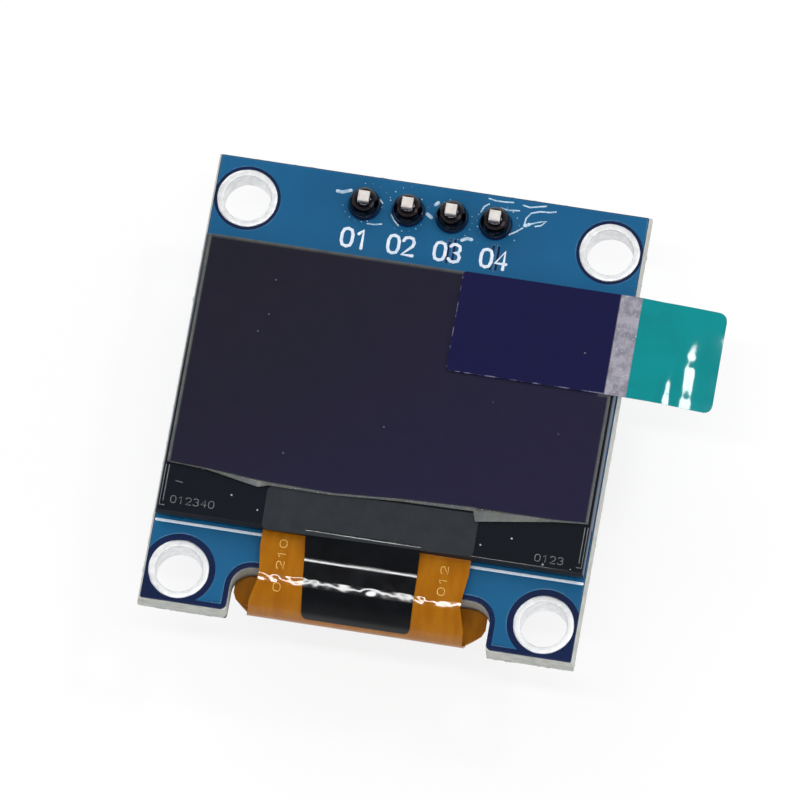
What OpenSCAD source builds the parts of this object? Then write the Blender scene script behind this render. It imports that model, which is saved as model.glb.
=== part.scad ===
// Small monochrome OLED display module: a blue circuit board with a four-pin
// header, a glued-on glass display panel, and a flex cable that folds through
// a notch in the board's lower edge and is soldered to the board's back.
//
// Frame: origin at the centre of the four mounting holes, on the board's back
// face. +X to the right and +Y up towards the header, as the display is read.
// +Z points out of the display. Lengths are in millimetres.

/* [Board] */
// Width of the board over its snapped edges
board_w = 25.2; // [24.9:0.1:28]
// Height of the board over its snapped edges
board_h = 27.3; // [27.0:0.1:29]
// Thickness of the bare board
board_t = 1.6; // [1.2:0.1:2.0]
// Depth of the V-groove that the board was snapped along, on each face
score_depth = 0.5; // [0.2:0.05:0.55]
// Half the width of that V-groove at the face
score_run = 0.14; // [0.05:0.01:0.3]
// Width of the notch that lets the flex cable through
notch_w = 15.0; // [14.8:0.1:16.4]
// Depth of the notch, from the lower edge
notch_depth = 2.88; // [2.4:0.02:3.2]
// Radius of the notch's inner corners
notch_r = 1.2; // [0.4:0.1:1.6]
// Radius where the notch meets the lower edge
notch_lip_r = 0.35; // [0.1:0.05:0.6]

/* [Mounting holes] */
// Distance between the holes across the board
hole_span_x = 21.1; // [20.6:0.1:21.4]
// Distance between the holes up the board
hole_span_y = 22.6; // [22.0:0.1:23.0]
// Distance from the lower pair of holes to the lower edge
hole_to_bottom = 2.13; // [2.0:0.01:2.5]
// Finished diameter of a plated hole
hole_d = 2.7; // [2.2:0.1:3.0]
// Outer diameter of the plated ring around a hole
ring_d = 3.5; // [3.3:0.1:3.8]
// Wall of the plating inside a hole
plating_t = 0.06; // [0.04:0.01:0.1]
// Height of the plated ring above the board's face
ring_t = 0.05; // [0.03:0.01:0.08]

/* [Header] */
// Distance between neighbouring pins
pin_pitch = 2.54; // [2.4:0.01:2.6]
// Distance from the upper edge to the row of pins
header_from_top = 1.91; // [1.6:0.01:2.2]
// Depth of the header's plastic body, along Y
header_depth = 2.5; // [2.2:0.1:2.9]
// Height of the header's plastic body, behind the board
header_h = 2.54; // [2.0:0.1:3.5]
// Chamfer between the cells of the plastic body
header_chamfer = 0.45; // [0.2:0.05:0.7]
// Side of a square pin
pin_w = 0.64; // [0.5:0.02:0.7]
// Length of a pin from tip to tip
pin_l = 11.6; // [9:0.1:14]
// Length of a pin that stands in front of the board
pin_proud = 1.7; // [1.5:0.1:2.2]
// Length of the taper at a pin's free tip
pin_taper = 0.35; // [0.1:0.05:0.6]
// Chamfer of a pin's cut tip, in front of the board
pin_cut = 0.05; // [0.01:0.01:0.1]
// Diameter of the drilled holes for the pins
pin_hole_d = 1.02; // [1.0:0.01:1.1]
// Diameter of the solder pads
pad_d = 1.72; // [1.5:0.02:1.9]
// Height of a solder joint above the board
joint_h = 1.3; // [0.8:0.05:1.35]

/* [Display panel] */
// Width of the glass
panel_w = 24.74; // [24.2:0.02:24.8]
// Height of the front glass
panel_h = 16.9; // [16.5:0.1:17.3]
// Distance from the board's upper edge to the glass
panel_from_top = 5.37; // [5.1:0.01:5.7]
// Thickness of the front glass
front_glass_t = 0.55; // [0.4:0.05:0.7]
// Thickness of the rear glass
rear_glass_t = 0.55; // [0.4:0.05:0.7]
// Thickness of the bead that joins the two glasses
seal_t = 0.05; // [0.03:0.01:0.08]
// Width of that bead
seal_w = 0.9; // [0.5:0.1:1.2]
// Height of the ledge that the rear glass leaves bare
ledge_h = 2.9; // [2.6:0.1:3.2]
// Chamfer of the glass's front edges
glass_chamfer = 0.12; // [0.05:0.01:0.2]
// Width of the lit area
active_w = 21.744; // [20:0.1:22.2]
// Height of the lit area
active_h = 10.864; // [10:0.1:11.4]
// Thickness of the layer of pixels
pixel_t = 0.03; // [0.01:0.01:0.03]
// Bare border of glass beside the polariser
polariser_border = 0.2; // [0.1:0.05:0.6]
// Bare border of glass above the polariser
polariser_top_gap = 0.1; // [0.05:0.05:0.4]
// Distance from the ledge to the polariser's lower edge
polariser_ledge_gap = 0.15; // [0.05:0.05:0.4]
// Thickness of the polariser
polariser_t = 0.2; // [0.1:0.02:0.24]
// Thickness of the glued tape that holds the panel on the board
adhesive_t = 0.1; // [0.05:0.01:0.2]
// Length of the driver chip
driver_l = 8.6; // [7:0.1:10]
// Width of the driver chip
driver_w = 0.9; // [0.7:0.05:1.1]
// Thickness of the driver chip
driver_t = 0.3; // [0.2:0.02:0.34]

/* [Flex cable] */
// Width of the cable where it leaves the glass
flex_w = 12.05; // [11:0.05:12.6]
// Width of the cable at its waist, above the fold
waist_w = 11.7; // [10.8:0.05:12]
// Width of the cable at the fold
fold_w = 12.4; // [11.8:0.05:13]
// Width of the cable behind the notch
neck_w = 14.6; // [13.4:0.1:15.2]
// Width of the soldered tail
tail_w = 18.8; // [18.6:0.1:19.6]
// Length of the flat part of the tail
tail_l = 2.0; // [1.7:0.1:2.3]
// Thickness of the cable
flex_t = 0.1; // [0.08:0.01:0.14]
// Sideways shift of the cable from the board's centre
flex_shift = -0.12; // [-0.3:0.02:0.3]
// Length of cable bonded under the ledge
bond_l = 1.0; // [0.7:0.05:1.1]
// Share of the run from the ledge to the fold that the cable's shallow dip takes
dip_share = 0.365; // [0.3:0.005:0.45]
// Share of that run that the easy bend above the fold takes
lead_in_share = 0.37; // [0.3:0.01:0.5]
// Radius of the bend that lays the tail against the board
return_r = 4.0; // [3:0.1:5]
// Length over which the cable flares behind the notch
flare_l = 0.9; // [0.7:0.05:1.1]
// Length over which the neck widens to the tail
shoulder_l = 1.1; // [0.9:0.05:1.2]
// How far the fold stands past the board's lower edge
fold_proud = 0.12; // [0:0.02:0.4]
// How far the loop hangs behind the board
fold_sag = 0.55; // [0.4:0.02:0.7]
// Width of the black cover on the cable
cover_w = 6.3; // [5:0.1:8]
// Thickness of the black cover
cover_t = 0.06; // [0.03:0.01:0.1]
// Distance between neighbouring solder joints of the tail
tail_pitch = 0.62; // [0.6:0.005:0.625]
// Width of one solder joint of the tail
tail_joint_w = 0.38; // [0.3:0.01:0.44]
// Height of the solder joints on the tail
tail_joint_t = 0.12; // [0.06:0.02:0.2]
// Length of a solder joint that lies on the tail
tail_joint_l = 1.3; // [0.8:0.05:1.5]
// Reach of a solder joint past the tail's end
tail_joint_reach = 0.45; // [0.3:0.05:0.6]

/* [Tape, film and tab] */
// Width of the black tape on the ledge
tape_w = 12.2; // [10:0.1:13]
// Height of the black tape
tape_h = 2.6; // [2.0:0.05:2.7]
// Thickness of the black tape
tape_t = 0.06; // [0.03:0.01:0.1]
// Turn of the tape, as it was laid on by hand
tape_turn = 1.0; // [-1:0.1:1]
// Thickness of the protective film
film_t = 0.07; // [0.03:0.01:0.12]
// Length of the pull tab
tab_l = 15.35; // [12:0.05:18]
// Width of the pull tab
tab_w = 6.05; // [4:0.05:8]
// Thickness of the pull tab
tab_t = 0.06; // [0.03:0.01:0.1]
// How far the tab reaches past the board's edge
tab_reach = 5.35; // [3:0.05:7]
// Radius of the tab's outer corners
tab_r = 0.9; // [0.2:0.05:1.5]
// Radius of the curve that the free end droops along
tab_droop_r = 30; // [20:1:80]

/* [Small parts on the back] */
// Distance from the flex cable's tail to the row of capacitors
capacitor_row_gap = 2.84; // [2.6:0.02:3.4]
// Distance from the row of capacitors to the row of resistors
resistor_row_gap = 4.2; // [3:0.1:5]
// Distance from the header's row of pins to the regulator's row
regulator_row_gap = 5.84; // [4:0.02:6.5]
// Length of a chip capacitor or resistor
chip_l = 1.6; // [1.2:0.05:1.7]
// Width of a chip capacitor or resistor
chip_w = 0.8; // [0.5:0.05:0.9]
// Height of a chip capacitor
capacitor_h = 0.75; // [0.4:0.05:1.0]
// Height of a chip resistor
resistor_h = 0.45; // [0.3:0.05:0.6]
// Length of a chip's metal end
chip_end = 0.3; // [0.2:0.05:0.4]
// Length of the regulator's body
regulator_l = 2.9; // [2.7:0.1:3.2]
// Width of the regulator's body
regulator_w = 1.3; // [1.2:0.1:1.6]
// Height of the regulator's body
regulator_h = 1.0; // [0.8:0.05:1.2]
// Width of a regulator lead
lead_w = 0.42; // [0.3:0.02:0.5]
// Thickness of a regulator lead
lead_t = 0.14; // [0.1:0.01:0.2]
// Reach of a lead from the regulator's body
lead_reach = 0.6; // [0.5:0.05:0.8]

/* [Hidden] */

$fn = 48;
cut = 0.5;        // how far a cutting shape runs past the face that it cuts
pins = 4;
tail_joints = 30;

// Board: edges and the rows that are set out from them
board_bottom = -hole_span_y / 2 - hole_to_bottom;
board_top = board_bottom + board_h;
board_mid = (board_bottom + board_top) / 2;
header_y = board_top - header_from_top;
notch_top = board_bottom + notch_depth;
pin_tip_z = board_t + pin_proud;

// Panel: the stack of layers, from the board's front face outwards
rear_glass_z = board_t + adhesive_t;
seal_z = rear_glass_z + rear_glass_t;
front_glass_z = seal_z + seal_t;
polariser_z = front_glass_z + front_glass_t;
film_z = polariser_z + polariser_t;
tab_z = film_z + film_t;
panel_top = board_top - panel_from_top;
panel_bottom = panel_top - panel_h;
rear_glass_h = panel_h - ledge_h;
rear_glass_y = panel_top - rear_glass_h / 2;
polariser_w = panel_w - 2 * polariser_border;
polariser_h = rear_glass_h - polariser_top_gap - polariser_ledge_gap;
polariser_top = panel_top - polariser_top_gap;

// Flex cable: the fold, worked out from the ledge and the board's lower edge
dip_turn = 8;      // the cable dips a little as it leaves the ledge
lead_in_turn = 18; // easy bend above the fold
return_turn = 12;  // slope of the cable as it comes back up to the board
flex_clear = 0.02; // gap between the ledge's edge and the black cover
ledge_z = front_glass_z - flex_t / 2;
dip_y = panel_bottom - flex_clear;
run_l = dip_y - board_bottom + fold_proud - fold_sag;
dip_r = dip_share * run_l / (2 * sin(dip_turn));
lead_in_r = lead_in_share * run_l / sin(lead_in_turn);
dip_z = ledge_z - 2 * dip_r * (1 - cos(dip_turn));
fold_z = dip_z - lead_in_r * (1 - cos(lead_in_turn));
fold_r = (fold_z + fold_sag) / (cos(lead_in_turn) + cos(return_turn));
fold_centre_y = board_bottom - fold_proud + flex_t / 2 + fold_r;
fold_centre_z = fold_z - fold_r * cos(lead_in_turn);
fold_y = fold_centre_y - fold_r * sin(lead_in_turn);
lead_in_y = fold_y + lead_in_r * sin(lead_in_turn);
rise_y = fold_centre_y + fold_r * sin(return_turn);
rise_h = fold_sag - flex_t / 2 - return_r * (1 - cos(return_turn));
landing_y = rise_y + rise_h / tan(return_turn);
landing_z = rise_h - fold_sag;
tail_y = landing_y + return_r * sin(return_turn);
tail_end = tail_y + tail_l;
fold_steps = 30;   // flats that the fold is drawn with
cover_steps = 1;   // flats of the fold that the black cover reaches over
fold_turn = 180 + return_turn;
cover_turn = lead_in_turn + (fold_turn - lead_in_turn) * cover_steps / fold_steps;

// Small parts on the back: three rows, each with hand-set places along it
capacitor_y = tail_end + capacitor_row_gap;
resistor_y = capacitor_y + resistor_row_gap;
regulator_y = header_y - regulator_row_gap;
capacitor_places = concat(
    [for (x = [-7.5, -4.5, -1.5, 1.5, 4.5, 7.5]) [x, capacitor_y]],
    [[2.6, regulator_y], [9.9, regulator_y]]
);
resistor_places = [for (x = [-7.5, -5.0, -2.5, 0, 2.5, 5.0, 7.5]) [x, resistor_y]];
regulator_place = [6.25, regulator_y];
lead_pitch = 0.95;
regulator_lift = 0.1;  // gap under the regulator's body
joint_run = 0.3;       // reach of a solder fillet from a metal end
joint_rise = 0.6;      // share of a chip's height that the fillet climbs

BOARD_BLUE = "#1c5f8c";
PLATED = "#e4e7ea";
PIN_METAL = "#cfc8b4";
SOLDER = "#9aa0a6";
BLACK = "#1b1c1f";
GLASS = "#20222c";
AMBER = "#b06a12";
TEAL = "#0f8c8f";
CERAMIC = "#b48a5c";

// ---- Helpers ---------------------------------------------------------------

// Outline of a slab's section: `size` wide, `t` high, with bevels that run in by
// `run` and drop by `top` on the upper edges and by `bottom` on the lower ones
function slab_section(size, t, run, top, bottom) = [
    [-size / 2 + run, 0], [size / 2 - run, 0],
    [size / 2, bottom], [size / 2, t - top],
    [size / 2 - run, t], [-size / 2 + run, t],
    [-size / 2, t - top], [-size / 2, bottom]
];

// A flat slab, centred on the Z axis and standing on z = 0, with bevelled edges
module bevelled_slab(w, h, t, run, top, bottom = 0) {
    intersection() {
        rotate([90, 0, 0])
            linear_extrude(h + 2 * cut, center = true)
                polygon(slab_section(w, t, run, top, bottom));
        rotate([90, 0, 90])
            linear_extrude(w + 2 * cut, center = true)
                polygon(slab_section(h, t, run, top, bottom));
    }
}

// A rectangle from [x0, y0] to [x1, y1] with round corners, one radius a side
module rounded_area(x0, y0, x1, y1, r_left, r_right) {
    for (side = [[x0, 1, r_left], [x1, -1, r_right]])
        for (y = [[y0, 1], [y1, -1]])
            translate([side[0] + side[1] * side[2], y[0] + y[1] * side[2]])
                circle(side[2]);
    translate([x0 + r_left, y0])
        square([x1 - x0 - r_left - r_right, y1 - y0]);
    translate([x0, y0 + r_left])
        square([r_left, y1 - y0 - 2 * r_left]);
    translate([x1 - r_right, y0 + r_right])
        square([r_right, y1 - y0 - 2 * r_right]);
}

// The place of mounting hole `i`, counted from the upper left along each row
function hole_place(i) = [
    (i % 2 == 0 ? -1 : 1) * hole_span_x / 2,
    (i < 2 ? 1 : -1) * hole_span_y / 2
];

// The X of header pin `i`
function pin_x(i) = (i - (pins - 1) / 2) * pin_pitch;

// Puts a part that is drawn standing on z = 0 onto the board's back face
module on_back(place, turn = 0) {
    translate([place[0], place[1], 0])
        rotate([180, 0, turn])
            children();
}

// ---- Board -----------------------------------------------------------------

// The notch as it is cut: square, with round inner corners and a rounded lip
module notch_area() {
    difference() {
        translate([-notch_w / 2, board_bottom - cut])
            square([notch_w, notch_depth + cut]);
        for (side = [-1, 1])
            translate([side * (notch_w / 2 - notch_r), notch_top - notch_r])
                difference() {
                    translate([side > 0 ? 0 : -notch_r - cut, 0])
                        square(notch_r + cut);
                    circle(notch_r);
                }
    }
    for (side = [-1, 1])
        difference() {
            translate([side * (notch_w / 2 + notch_lip_r / 2), board_bottom + notch_lip_r / 2 - cut / 2])
                square([notch_lip_r, notch_lip_r + cut], center = true);
            translate([side * (notch_w / 2 + notch_lip_r), board_bottom + notch_lip_r])
                circle(notch_lip_r);
        }
}

module circuit_board() {
    color(BOARD_BLUE)
        difference() {
            translate([0, board_mid, 0])
                bevelled_slab(board_w, board_h, board_t, score_run, score_depth, score_depth);
            translate([0, 0, -cut])
                linear_extrude(board_t + 2 * cut)
                    notch_area();
            for (i = [0:3])
                translate([hole_place(i)[0], hole_place(i)[1], -cut])
                    cylinder(d = hole_d + 2 * plating_t, h = board_t + 2 * cut);
            for (i = [0:pins - 1])
                translate([pin_x(i), header_y, -cut])
                    cylinder(d = pin_hole_d, h = board_t + 2 * cut);
        }
}

// Tinned lining of a mounting hole, with a flat ring on each face
module mounting_ring(i) {
    r = hole_d / 2;
    soft = ring_t / 2;
    color(PLATED)
        translate([hole_place(i)[0], hole_place(i)[1], 0])
            rotate_extrude()
                polygon([
                    [r, -soft], [r + soft, -ring_t],
                    [ring_d / 2 - soft, -ring_t], [ring_d / 2, 0],
                    [r + plating_t, 0], [r + plating_t, board_t],
                    [ring_d / 2, board_t], [ring_d / 2 - soft, board_t + ring_t],
                    [r + soft, board_t + ring_t], [r, board_t + soft]
                ]);
}

// ---- Header ----------------------------------------------------------------

// One cell of the header's body, seen from above: a square with cut corners
module header_cell() {
    x = pin_pitch / 2;
    y = header_depth / 2;
    c = header_chamfer;
    polygon([
        [-x, -y + c], [-x + c, -y], [x - c, -y], [x, -y + c],
        [x, y - c], [x - c, y], [-x + c, y], [-x, y - c]
    ]);
}

module header_body() {
    color(BLACK)
        translate([0, header_y, -header_h])
            difference() {
                linear_extrude(header_h)
                    for (i = [0:pins - 1])
                        translate([pin_x(i), 0])
                            header_cell();
                for (i = [0:pins - 1])
                    translate([pin_x(i) - pin_w / 2, -pin_w / 2, -cut])
                        cube([pin_w, pin_w, header_h + 2 * cut]);
            }
}

// Outline of a pin from the side: tapered at the free tip, cut off in front
function pin_outline() = [
    [-pin_w / 4, 0], [pin_w / 4, 0], [pin_w / 2, pin_taper],
    [pin_w / 2, pin_l - pin_cut], [pin_w / 2 - pin_cut, pin_l],
    [-pin_w / 2 + pin_cut, pin_l], [-pin_w / 2, pin_l - pin_cut], [-pin_w / 2, pin_taper]
];

module header_pin(i) {
    color(PIN_METAL)
        translate([pin_x(i), header_y, pin_tip_z - pin_l])
            intersection() {
                rotate([90, 0, 0])
                    linear_extrude(pin_w + 2 * cut, center = true)
                        polygon(pin_outline());
                rotate([90, 0, 90])
                    linear_extrude(pin_w + 2 * cut, center = true)
                        polygon(pin_outline());
            }
}

// Solder joint: it fills the hole around the pin and swells to a dome in front
module pin_joint(i) {
    foot = 0.06;                 // upright rim of the pad
    neck_r = pin_w * 0.74;       // just outside the pin's corners
    steps = 8;
    color(SOLDER)
        translate([pin_x(i), header_y, 0])
            difference() {
                rotate_extrude()
                    polygon(concat(
                        [[0, 0], [pin_hole_d / 2, 0], [pin_hole_d / 2, board_t], [pad_d / 2, board_t]],
                        [for (k = [0:steps])
                            let (a = 90 * k / steps)
                            [
                                neck_r + (pad_d / 2 - neck_r) * cos(a),
                                board_t + foot + (joint_h - foot) * sin(a)
                            ]],
                        [[0, board_t + joint_h]]
                    ));
                translate([-pin_w / 2, -pin_w / 2, -cut])
                    cube([pin_w, pin_w, board_t + joint_h + 2 * cut]);
            }
}

// ---- Display panel ---------------------------------------------------------

module front_glass() {
    color(GLASS)
        translate([0, panel_top - panel_h / 2, front_glass_z])
            bevelled_slab(panel_w, panel_h, front_glass_t, glass_chamfer, glass_chamfer);
}

module rear_glass() {
    color(GLASS)
        translate([-panel_w / 2, panel_top - rear_glass_h, rear_glass_z])
            cube([panel_w, rear_glass_h, rear_glass_t]);
}

// Closed bead of cured resin between the two glasses
module glass_seal() {
    color(BLACK)
        translate([0, rear_glass_y, seal_z])
            linear_extrude(seal_t)
                difference() {
                    square([panel_w, rear_glass_h], center = true);
                    square([panel_w - 2 * seal_w, rear_glass_h - 2 * seal_w], center = true);
                }
}

// Layer of pixels on the back of the front glass, inside the bead
module pixel_layer() {
    color(BLACK)
        translate([0, rear_glass_y, front_glass_z - pixel_t / 2])
            cube([active_w, active_h, pixel_t], center = true);
}

module polariser() {
    color(BLACK)
        translate([-polariser_w / 2, polariser_top - polariser_h, polariser_z])
            cube([polariser_w, polariser_h, polariser_t]);
}

// Double-sided tape that holds the rear glass on the board
module panel_adhesive() {
    inset = 1;
    color("white")
        translate([0, rear_glass_y, board_t + adhesive_t / 2])
            cube([panel_w - 2 * inset, rear_glass_h - 2 * inset, adhesive_t], center = true);
}

// Bare chip that drives the pixels, on the back of the ledge
module driver_chip() {
    flex_start = panel_bottom + bond_l;
    rear_glass_bottom = panel_top - rear_glass_h;
    color("#3a3d45")
        translate([0, (flex_start + rear_glass_bottom) / 2, front_glass_z - driver_t / 2])
            cube([driver_l, driver_w, driver_t], center = true);
}

// ---- Flex cable ------------------------------------------------------------

// A bend of the cable's centre line, as [y, z, heading]. The heading is 0
// towards -Y and grows as the cable turns down and back. The start is left out.
function bend(y, z, from, to, r, steps) =
    let (k = to > from ? 1 : -1)
    [for (i = [1:steps])
        let (a = from + (to - from) * i / steps)
        [y + k * r * (sin(from) - sin(a)), z - k * r * (cos(from) - cos(a)), a]];

// The cable's centre line in front of the board, from `start` to `turn` degrees
// round the fold
function front_line(start, turn, steps) = concat(
    [[start, ledge_z, 0], [dip_y, ledge_z, 0]],
    bend(dip_y, ledge_z, 0, dip_turn, dip_r, 3),
    bend(dip_y - dip_r * sin(dip_turn), (ledge_z + dip_z) / 2, dip_turn, 0, dip_r, 3),
    [[lead_in_y, dip_z, 0]],
    bend(lead_in_y, dip_z, 0, lead_in_turn, lead_in_r, 5),
    bend(fold_y, fold_z, lead_in_turn, turn, fold_r, steps)
);

// The whole centre line, from the bond under the ledge to the end of the tail
function whole_line() = concat(
    front_line(panel_bottom + bond_l, fold_turn, fold_steps),
    [[landing_y, landing_z, fold_turn]],
    bend(landing_y, landing_z, fold_turn, 180, return_r, 4),
    [[tail_end, -flex_t / 2, 180]]
);

// Moves a point of the line out of the loop by `d`
function beside(p, d) = [p[0] - d * sin(p[2]), p[1] + d * cos(p[2])];

// Section of a layer on the line, from `inner` to `outer` beside it
function layer_section(line, inner, outer) = concat(
    [for (p = line) beside(p, outer)],
    [for (i = [len(line) - 1:-1:0]) beside(line[i], inner)]
);

// Outline across the cable, from [y, half width] stations; mirrored about x = 0
function both_sides(stations) = concat(
    [for (s = stations) [s[1], s[0]]],
    [for (i = [len(stations) - 1:-1:0]) [-stations[i][1], stations[i][0]]]
);

// The cable seen from the front: straight, drawn in at the waist, out at the fold
function front_stations() = [
    [panel_bottom + bond_l + cut, flex_w / 2],
    [dip_y - run_l * 0.23, flex_w / 2],
    [lead_in_y - run_l * 0.02, waist_w / 2],
    [lead_in_y - run_l * 0.12, waist_w / 2],
    [fold_centre_y - fold_r * 0.24, fold_w / 2],
    [board_bottom - fold_proud - cut, fold_w / 2]
];

// The cable seen from behind: it flares from the fold to the neck and the tail
function back_stations() = [
    [board_bottom - fold_proud - cut, fold_w / 2],
    [fold_centre_y - fold_r * 0.24, fold_w / 2],
    [fold_centre_y - fold_r * 0.24 + flare_l, neck_w / 2],
    [tail_y - shoulder_l, neck_w / 2],
    [tail_y, tail_w / 2],
    [tail_end + cut, tail_w / 2]
];

module flex_cable() {
    seam = 0.2;      // the two outlines agree over this height at the fold
    color(AMBER)
        translate([flex_shift, 0, 0])
            intersection() {
                rotate([90, 0, 90])
                    linear_extrude(tail_w + 2 * cut, center = true)
                        polygon(layer_section(whole_line(), -flex_t / 2, flex_t / 2));
                union() {
                    translate([0, 0, fold_centre_z])
                        linear_extrude(front_glass_z - fold_centre_z + cut)
                            polygon(both_sides(front_stations()));
                    translate([0, 0, -fold_sag - flex_t - cut])
                        linear_extrude(fold_centre_z + fold_sag + flex_t + cut + seam)
                            polygon(both_sides(back_stations()));
                }
            }
}

// Black cover on the front of the cable, from the ledge to the start of the fold
module flex_cover() {
    line = front_line(dip_y, cover_turn, cover_steps);
    from_ledge = [for (i = [1:len(line) - 1]) line[i]];
    color(BLACK)
        translate([flex_shift, 0, 0])
            rotate([90, 0, 90])
                linear_extrude(cover_w, center = true)
                    polygon(layer_section(from_ledge, flex_t / 2, flex_t / 2 + cover_t));
}

// Solder on the tail's fingers: it lies on the cable and runs over its end
module flex_joints() {
    back = flex_t + tail_joint_t;
    color(SOLDER)
        for (i = [0:tail_joints - 1])
            translate([flex_shift + (i - (tail_joints - 1) / 2) * tail_pitch - tail_joint_w / 2, 0, -back])
                rotate([90, 0, 90])
                    linear_extrude(tail_joint_w)
                        polygon([
                            [tail_end - tail_joint_l, 0], [tail_end + tail_joint_reach / 2, 0],
                            [tail_end + tail_joint_reach, back], [tail_end, back],
                            [tail_end, tail_joint_t], [tail_end - tail_joint_l, tail_joint_t]
                        ]);
}

// ---- Tape, film and tab ----------------------------------------------------

// Black tape over the driver chip's place, on the front of the ledge
module ledge_tape() {
    corner = 0.35;
    overhang = 0.07;
    color(BLACK)
        translate([flex_shift, panel_bottom - overhang + tape_h / 2, polariser_z])
            rotate(tape_turn)
                linear_extrude(tape_t)
                    rounded_area(-tape_w / 2, -tape_h / 2, tape_w / 2, tape_h / 2, corner, corner);
}

module protective_film() {
    color("#8f97a5")
        translate([-polariser_w / 2, polariser_top - polariser_h, film_z])
            cube([polariser_w, polariser_h, film_t]);
}

// Section of the tab along X: flat on the film, then drooping past its edge
function tab_section() =
    let (
        x0 = board_w / 2 + tab_reach - tab_l,
        x1 = polariser_w / 2,
        turn = asin((board_w / 2 + tab_reach - x1) / tab_droop_r),
        steps = 8
    )
    concat(
        [[x0, 0]],
        [for (k = [0:steps])
            let (a = turn * k / steps)
            [x1 + tab_droop_r * sin(a), -tab_droop_r * (1 - cos(a))]],
        [for (k = [steps:-1:0])
            let (a = turn * k / steps)
            [x1 + (tab_droop_r + tab_t) * sin(a), tab_t - (tab_droop_r + tab_t) * (1 - cos(a))]],
        [[x0, tab_t]]
    );

module pull_tab() {
    inner_r = 0.5;
    top = polariser_top;
    x1 = board_w / 2 + tab_reach;
    color(TEAL)
        intersection() {
            translate([0, top - tab_w / 2, tab_z])
                rotate([90, 0, 0])
                    linear_extrude(tab_w + 2 * cut, center = true)
                        polygon(tab_section());
            translate([0, 0, tab_z - tab_reach])
                linear_extrude(2 * tab_reach)
                    rounded_area(x1 - tab_l, top - tab_w, x1, top, inner_r, tab_r);
        }
}

// ---- Small parts on the back -----------------------------------------------

// A chip capacitor or resistor: a body with a slightly larger metal end each side
module chip(h) {
    skin = 0.03;
    soft = 0.04;
    intersection() {
        bevelled_slab(chip_l, chip_w, h, soft, soft, soft);
        union() {
            for (side = [-1, 1])
                translate([side * (chip_l - chip_end) / 2, 0, h / 2])
                    cube([chip_end, chip_w, h], center = true);
            translate([0, 0, h / 2])
                cube([chip_l - chip_end, chip_w - 2 * skin, h - 2 * skin], center = true);
        }
    }
}

module capacitor(i) {
    color(CERAMIC)
        on_back(capacitor_places[i], 90)
            chip(capacitor_h);
}

module resistor(i) {
    color(BLACK)
        on_back(resistor_places[i], 90)
            chip(resistor_h);
}

// Solder fillets at both ends of a chip of height `h`
module chip_fillets(h) {
    for (side = [0, 1])
        rotate(180 * side)
            translate([chip_l / 2, 0, 0])
                rotate([90, 0, 0])
                    linear_extrude(chip_w - 0.1, center = true)
                        polygon([[0, 0], [joint_run, 0], [0, joint_rise * h]]);
}

module chip_joints() {
    color(SOLDER) {
        for (place = capacitor_places)
            on_back(place, 90)
                chip_fillets(capacitor_h);
        for (place = resistor_places)
            on_back(place, 90)
                chip_fillets(resistor_h);
    }
}

module regulator_body() {
    soft = 0.1;
    color(BLACK)
        on_back(regulator_place)
            translate([0, 0, regulator_lift])
                bevelled_slab(regulator_l, regulator_w, regulator_h, soft, regulator_h * 0.45, regulator_h * 0.35);
}

// Where the three leads stand: [x, side]
lead_places = [[-lead_pitch, -1], [lead_pitch, -1], [0, 1]];

// Outline of a lead from the side, from the body's wall down to the board
function lead_outline() =
    let (
        top = regulator_lift + regulator_h * 0.5,
        knee = lead_reach * 0.35,
        heel = lead_reach * 0.6
    )
    [
        [0, top], [0, top - lead_t], [knee - lead_t / 2, top - lead_t],
        [heel - lead_t, 0], [lead_reach, 0], [lead_reach, lead_t],
        [heel, lead_t], [knee + lead_t / 2, top]
    ];

module regulator_leads() {
    color(PLATED)
        on_back(regulator_place)
            for (lead = lead_places)
                translate([lead[0], lead[1] * regulator_w / 2, 0])
                    rotate([90, 0, lead[1] * 90])
                        linear_extrude(lead_w, center = true)
                            polygon(lead_outline());
}

// Solder at the toe of each regulator lead
module regulator_joints() {
    color(SOLDER)
        on_back(regulator_place)
            for (lead = lead_places)
                translate([lead[0], lead[1] * (regulator_w / 2 + lead_reach), 0])
                    rotate([90, 0, lead[1] * 90])
                        linear_extrude(lead_w, center = true)
                            polygon([[0, 0], [joint_run, 0], [0, lead_t]]);
}

circuit_board();
mounting_ring(0);  // mounting_ring_1
mounting_ring(1);  // mounting_ring_2
mounting_ring(2);  // mounting_ring_3
mounting_ring(3);  // mounting_ring_4
header_body();
header_pin(0);  // header_pin_1
header_pin(1);  // header_pin_2
header_pin(2);  // header_pin_3
header_pin(3);  // header_pin_4
pin_joint(0);  // pin_joint_1
pin_joint(1);  // pin_joint_2
pin_joint(2);  // pin_joint_3
pin_joint(3);  // pin_joint_4
front_glass();
rear_glass();
glass_seal();
pixel_layer();
polariser();
panel_adhesive();
driver_chip();
flex_cable();
flex_cover();
flex_joints();
ledge_tape();
protective_film();
pull_tab();
regulator_body();
regulator_leads();
capacitor(0);  // capacitor_1
capacitor(1);  // capacitor_2
capacitor(2);  // capacitor_3
capacitor(3);  // capacitor_4
capacitor(4);  // capacitor_5
capacitor(5);  // capacitor_6
capacitor(6);  // capacitor_7
capacitor(7);  // capacitor_8
resistor(0);  // resistor_1
resistor(1);  // resistor_2
resistor(2);  // resistor_3
resistor(3);  // resistor_4
resistor(4);  // resistor_5
resistor(5);  // resistor_6
resistor(6);  // resistor_7
chip_joints();
regulator_joints();
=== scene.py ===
"""Looks of a small OLED display module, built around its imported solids.

Lengths are written in millimetres and turned to metres where a mesh is made.
The frame is the solids' own: origin between the four mounting holes on the
board's back face, +X right, +Y towards the header, +Z out of the display.
"""

import logging
import math
from dataclasses import dataclass, field
from enum import Enum
from typing import Any, Callable, Iterable, Sequence

import bmesh
import bpy
from mathutils import Matrix, Vector, noise


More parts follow.
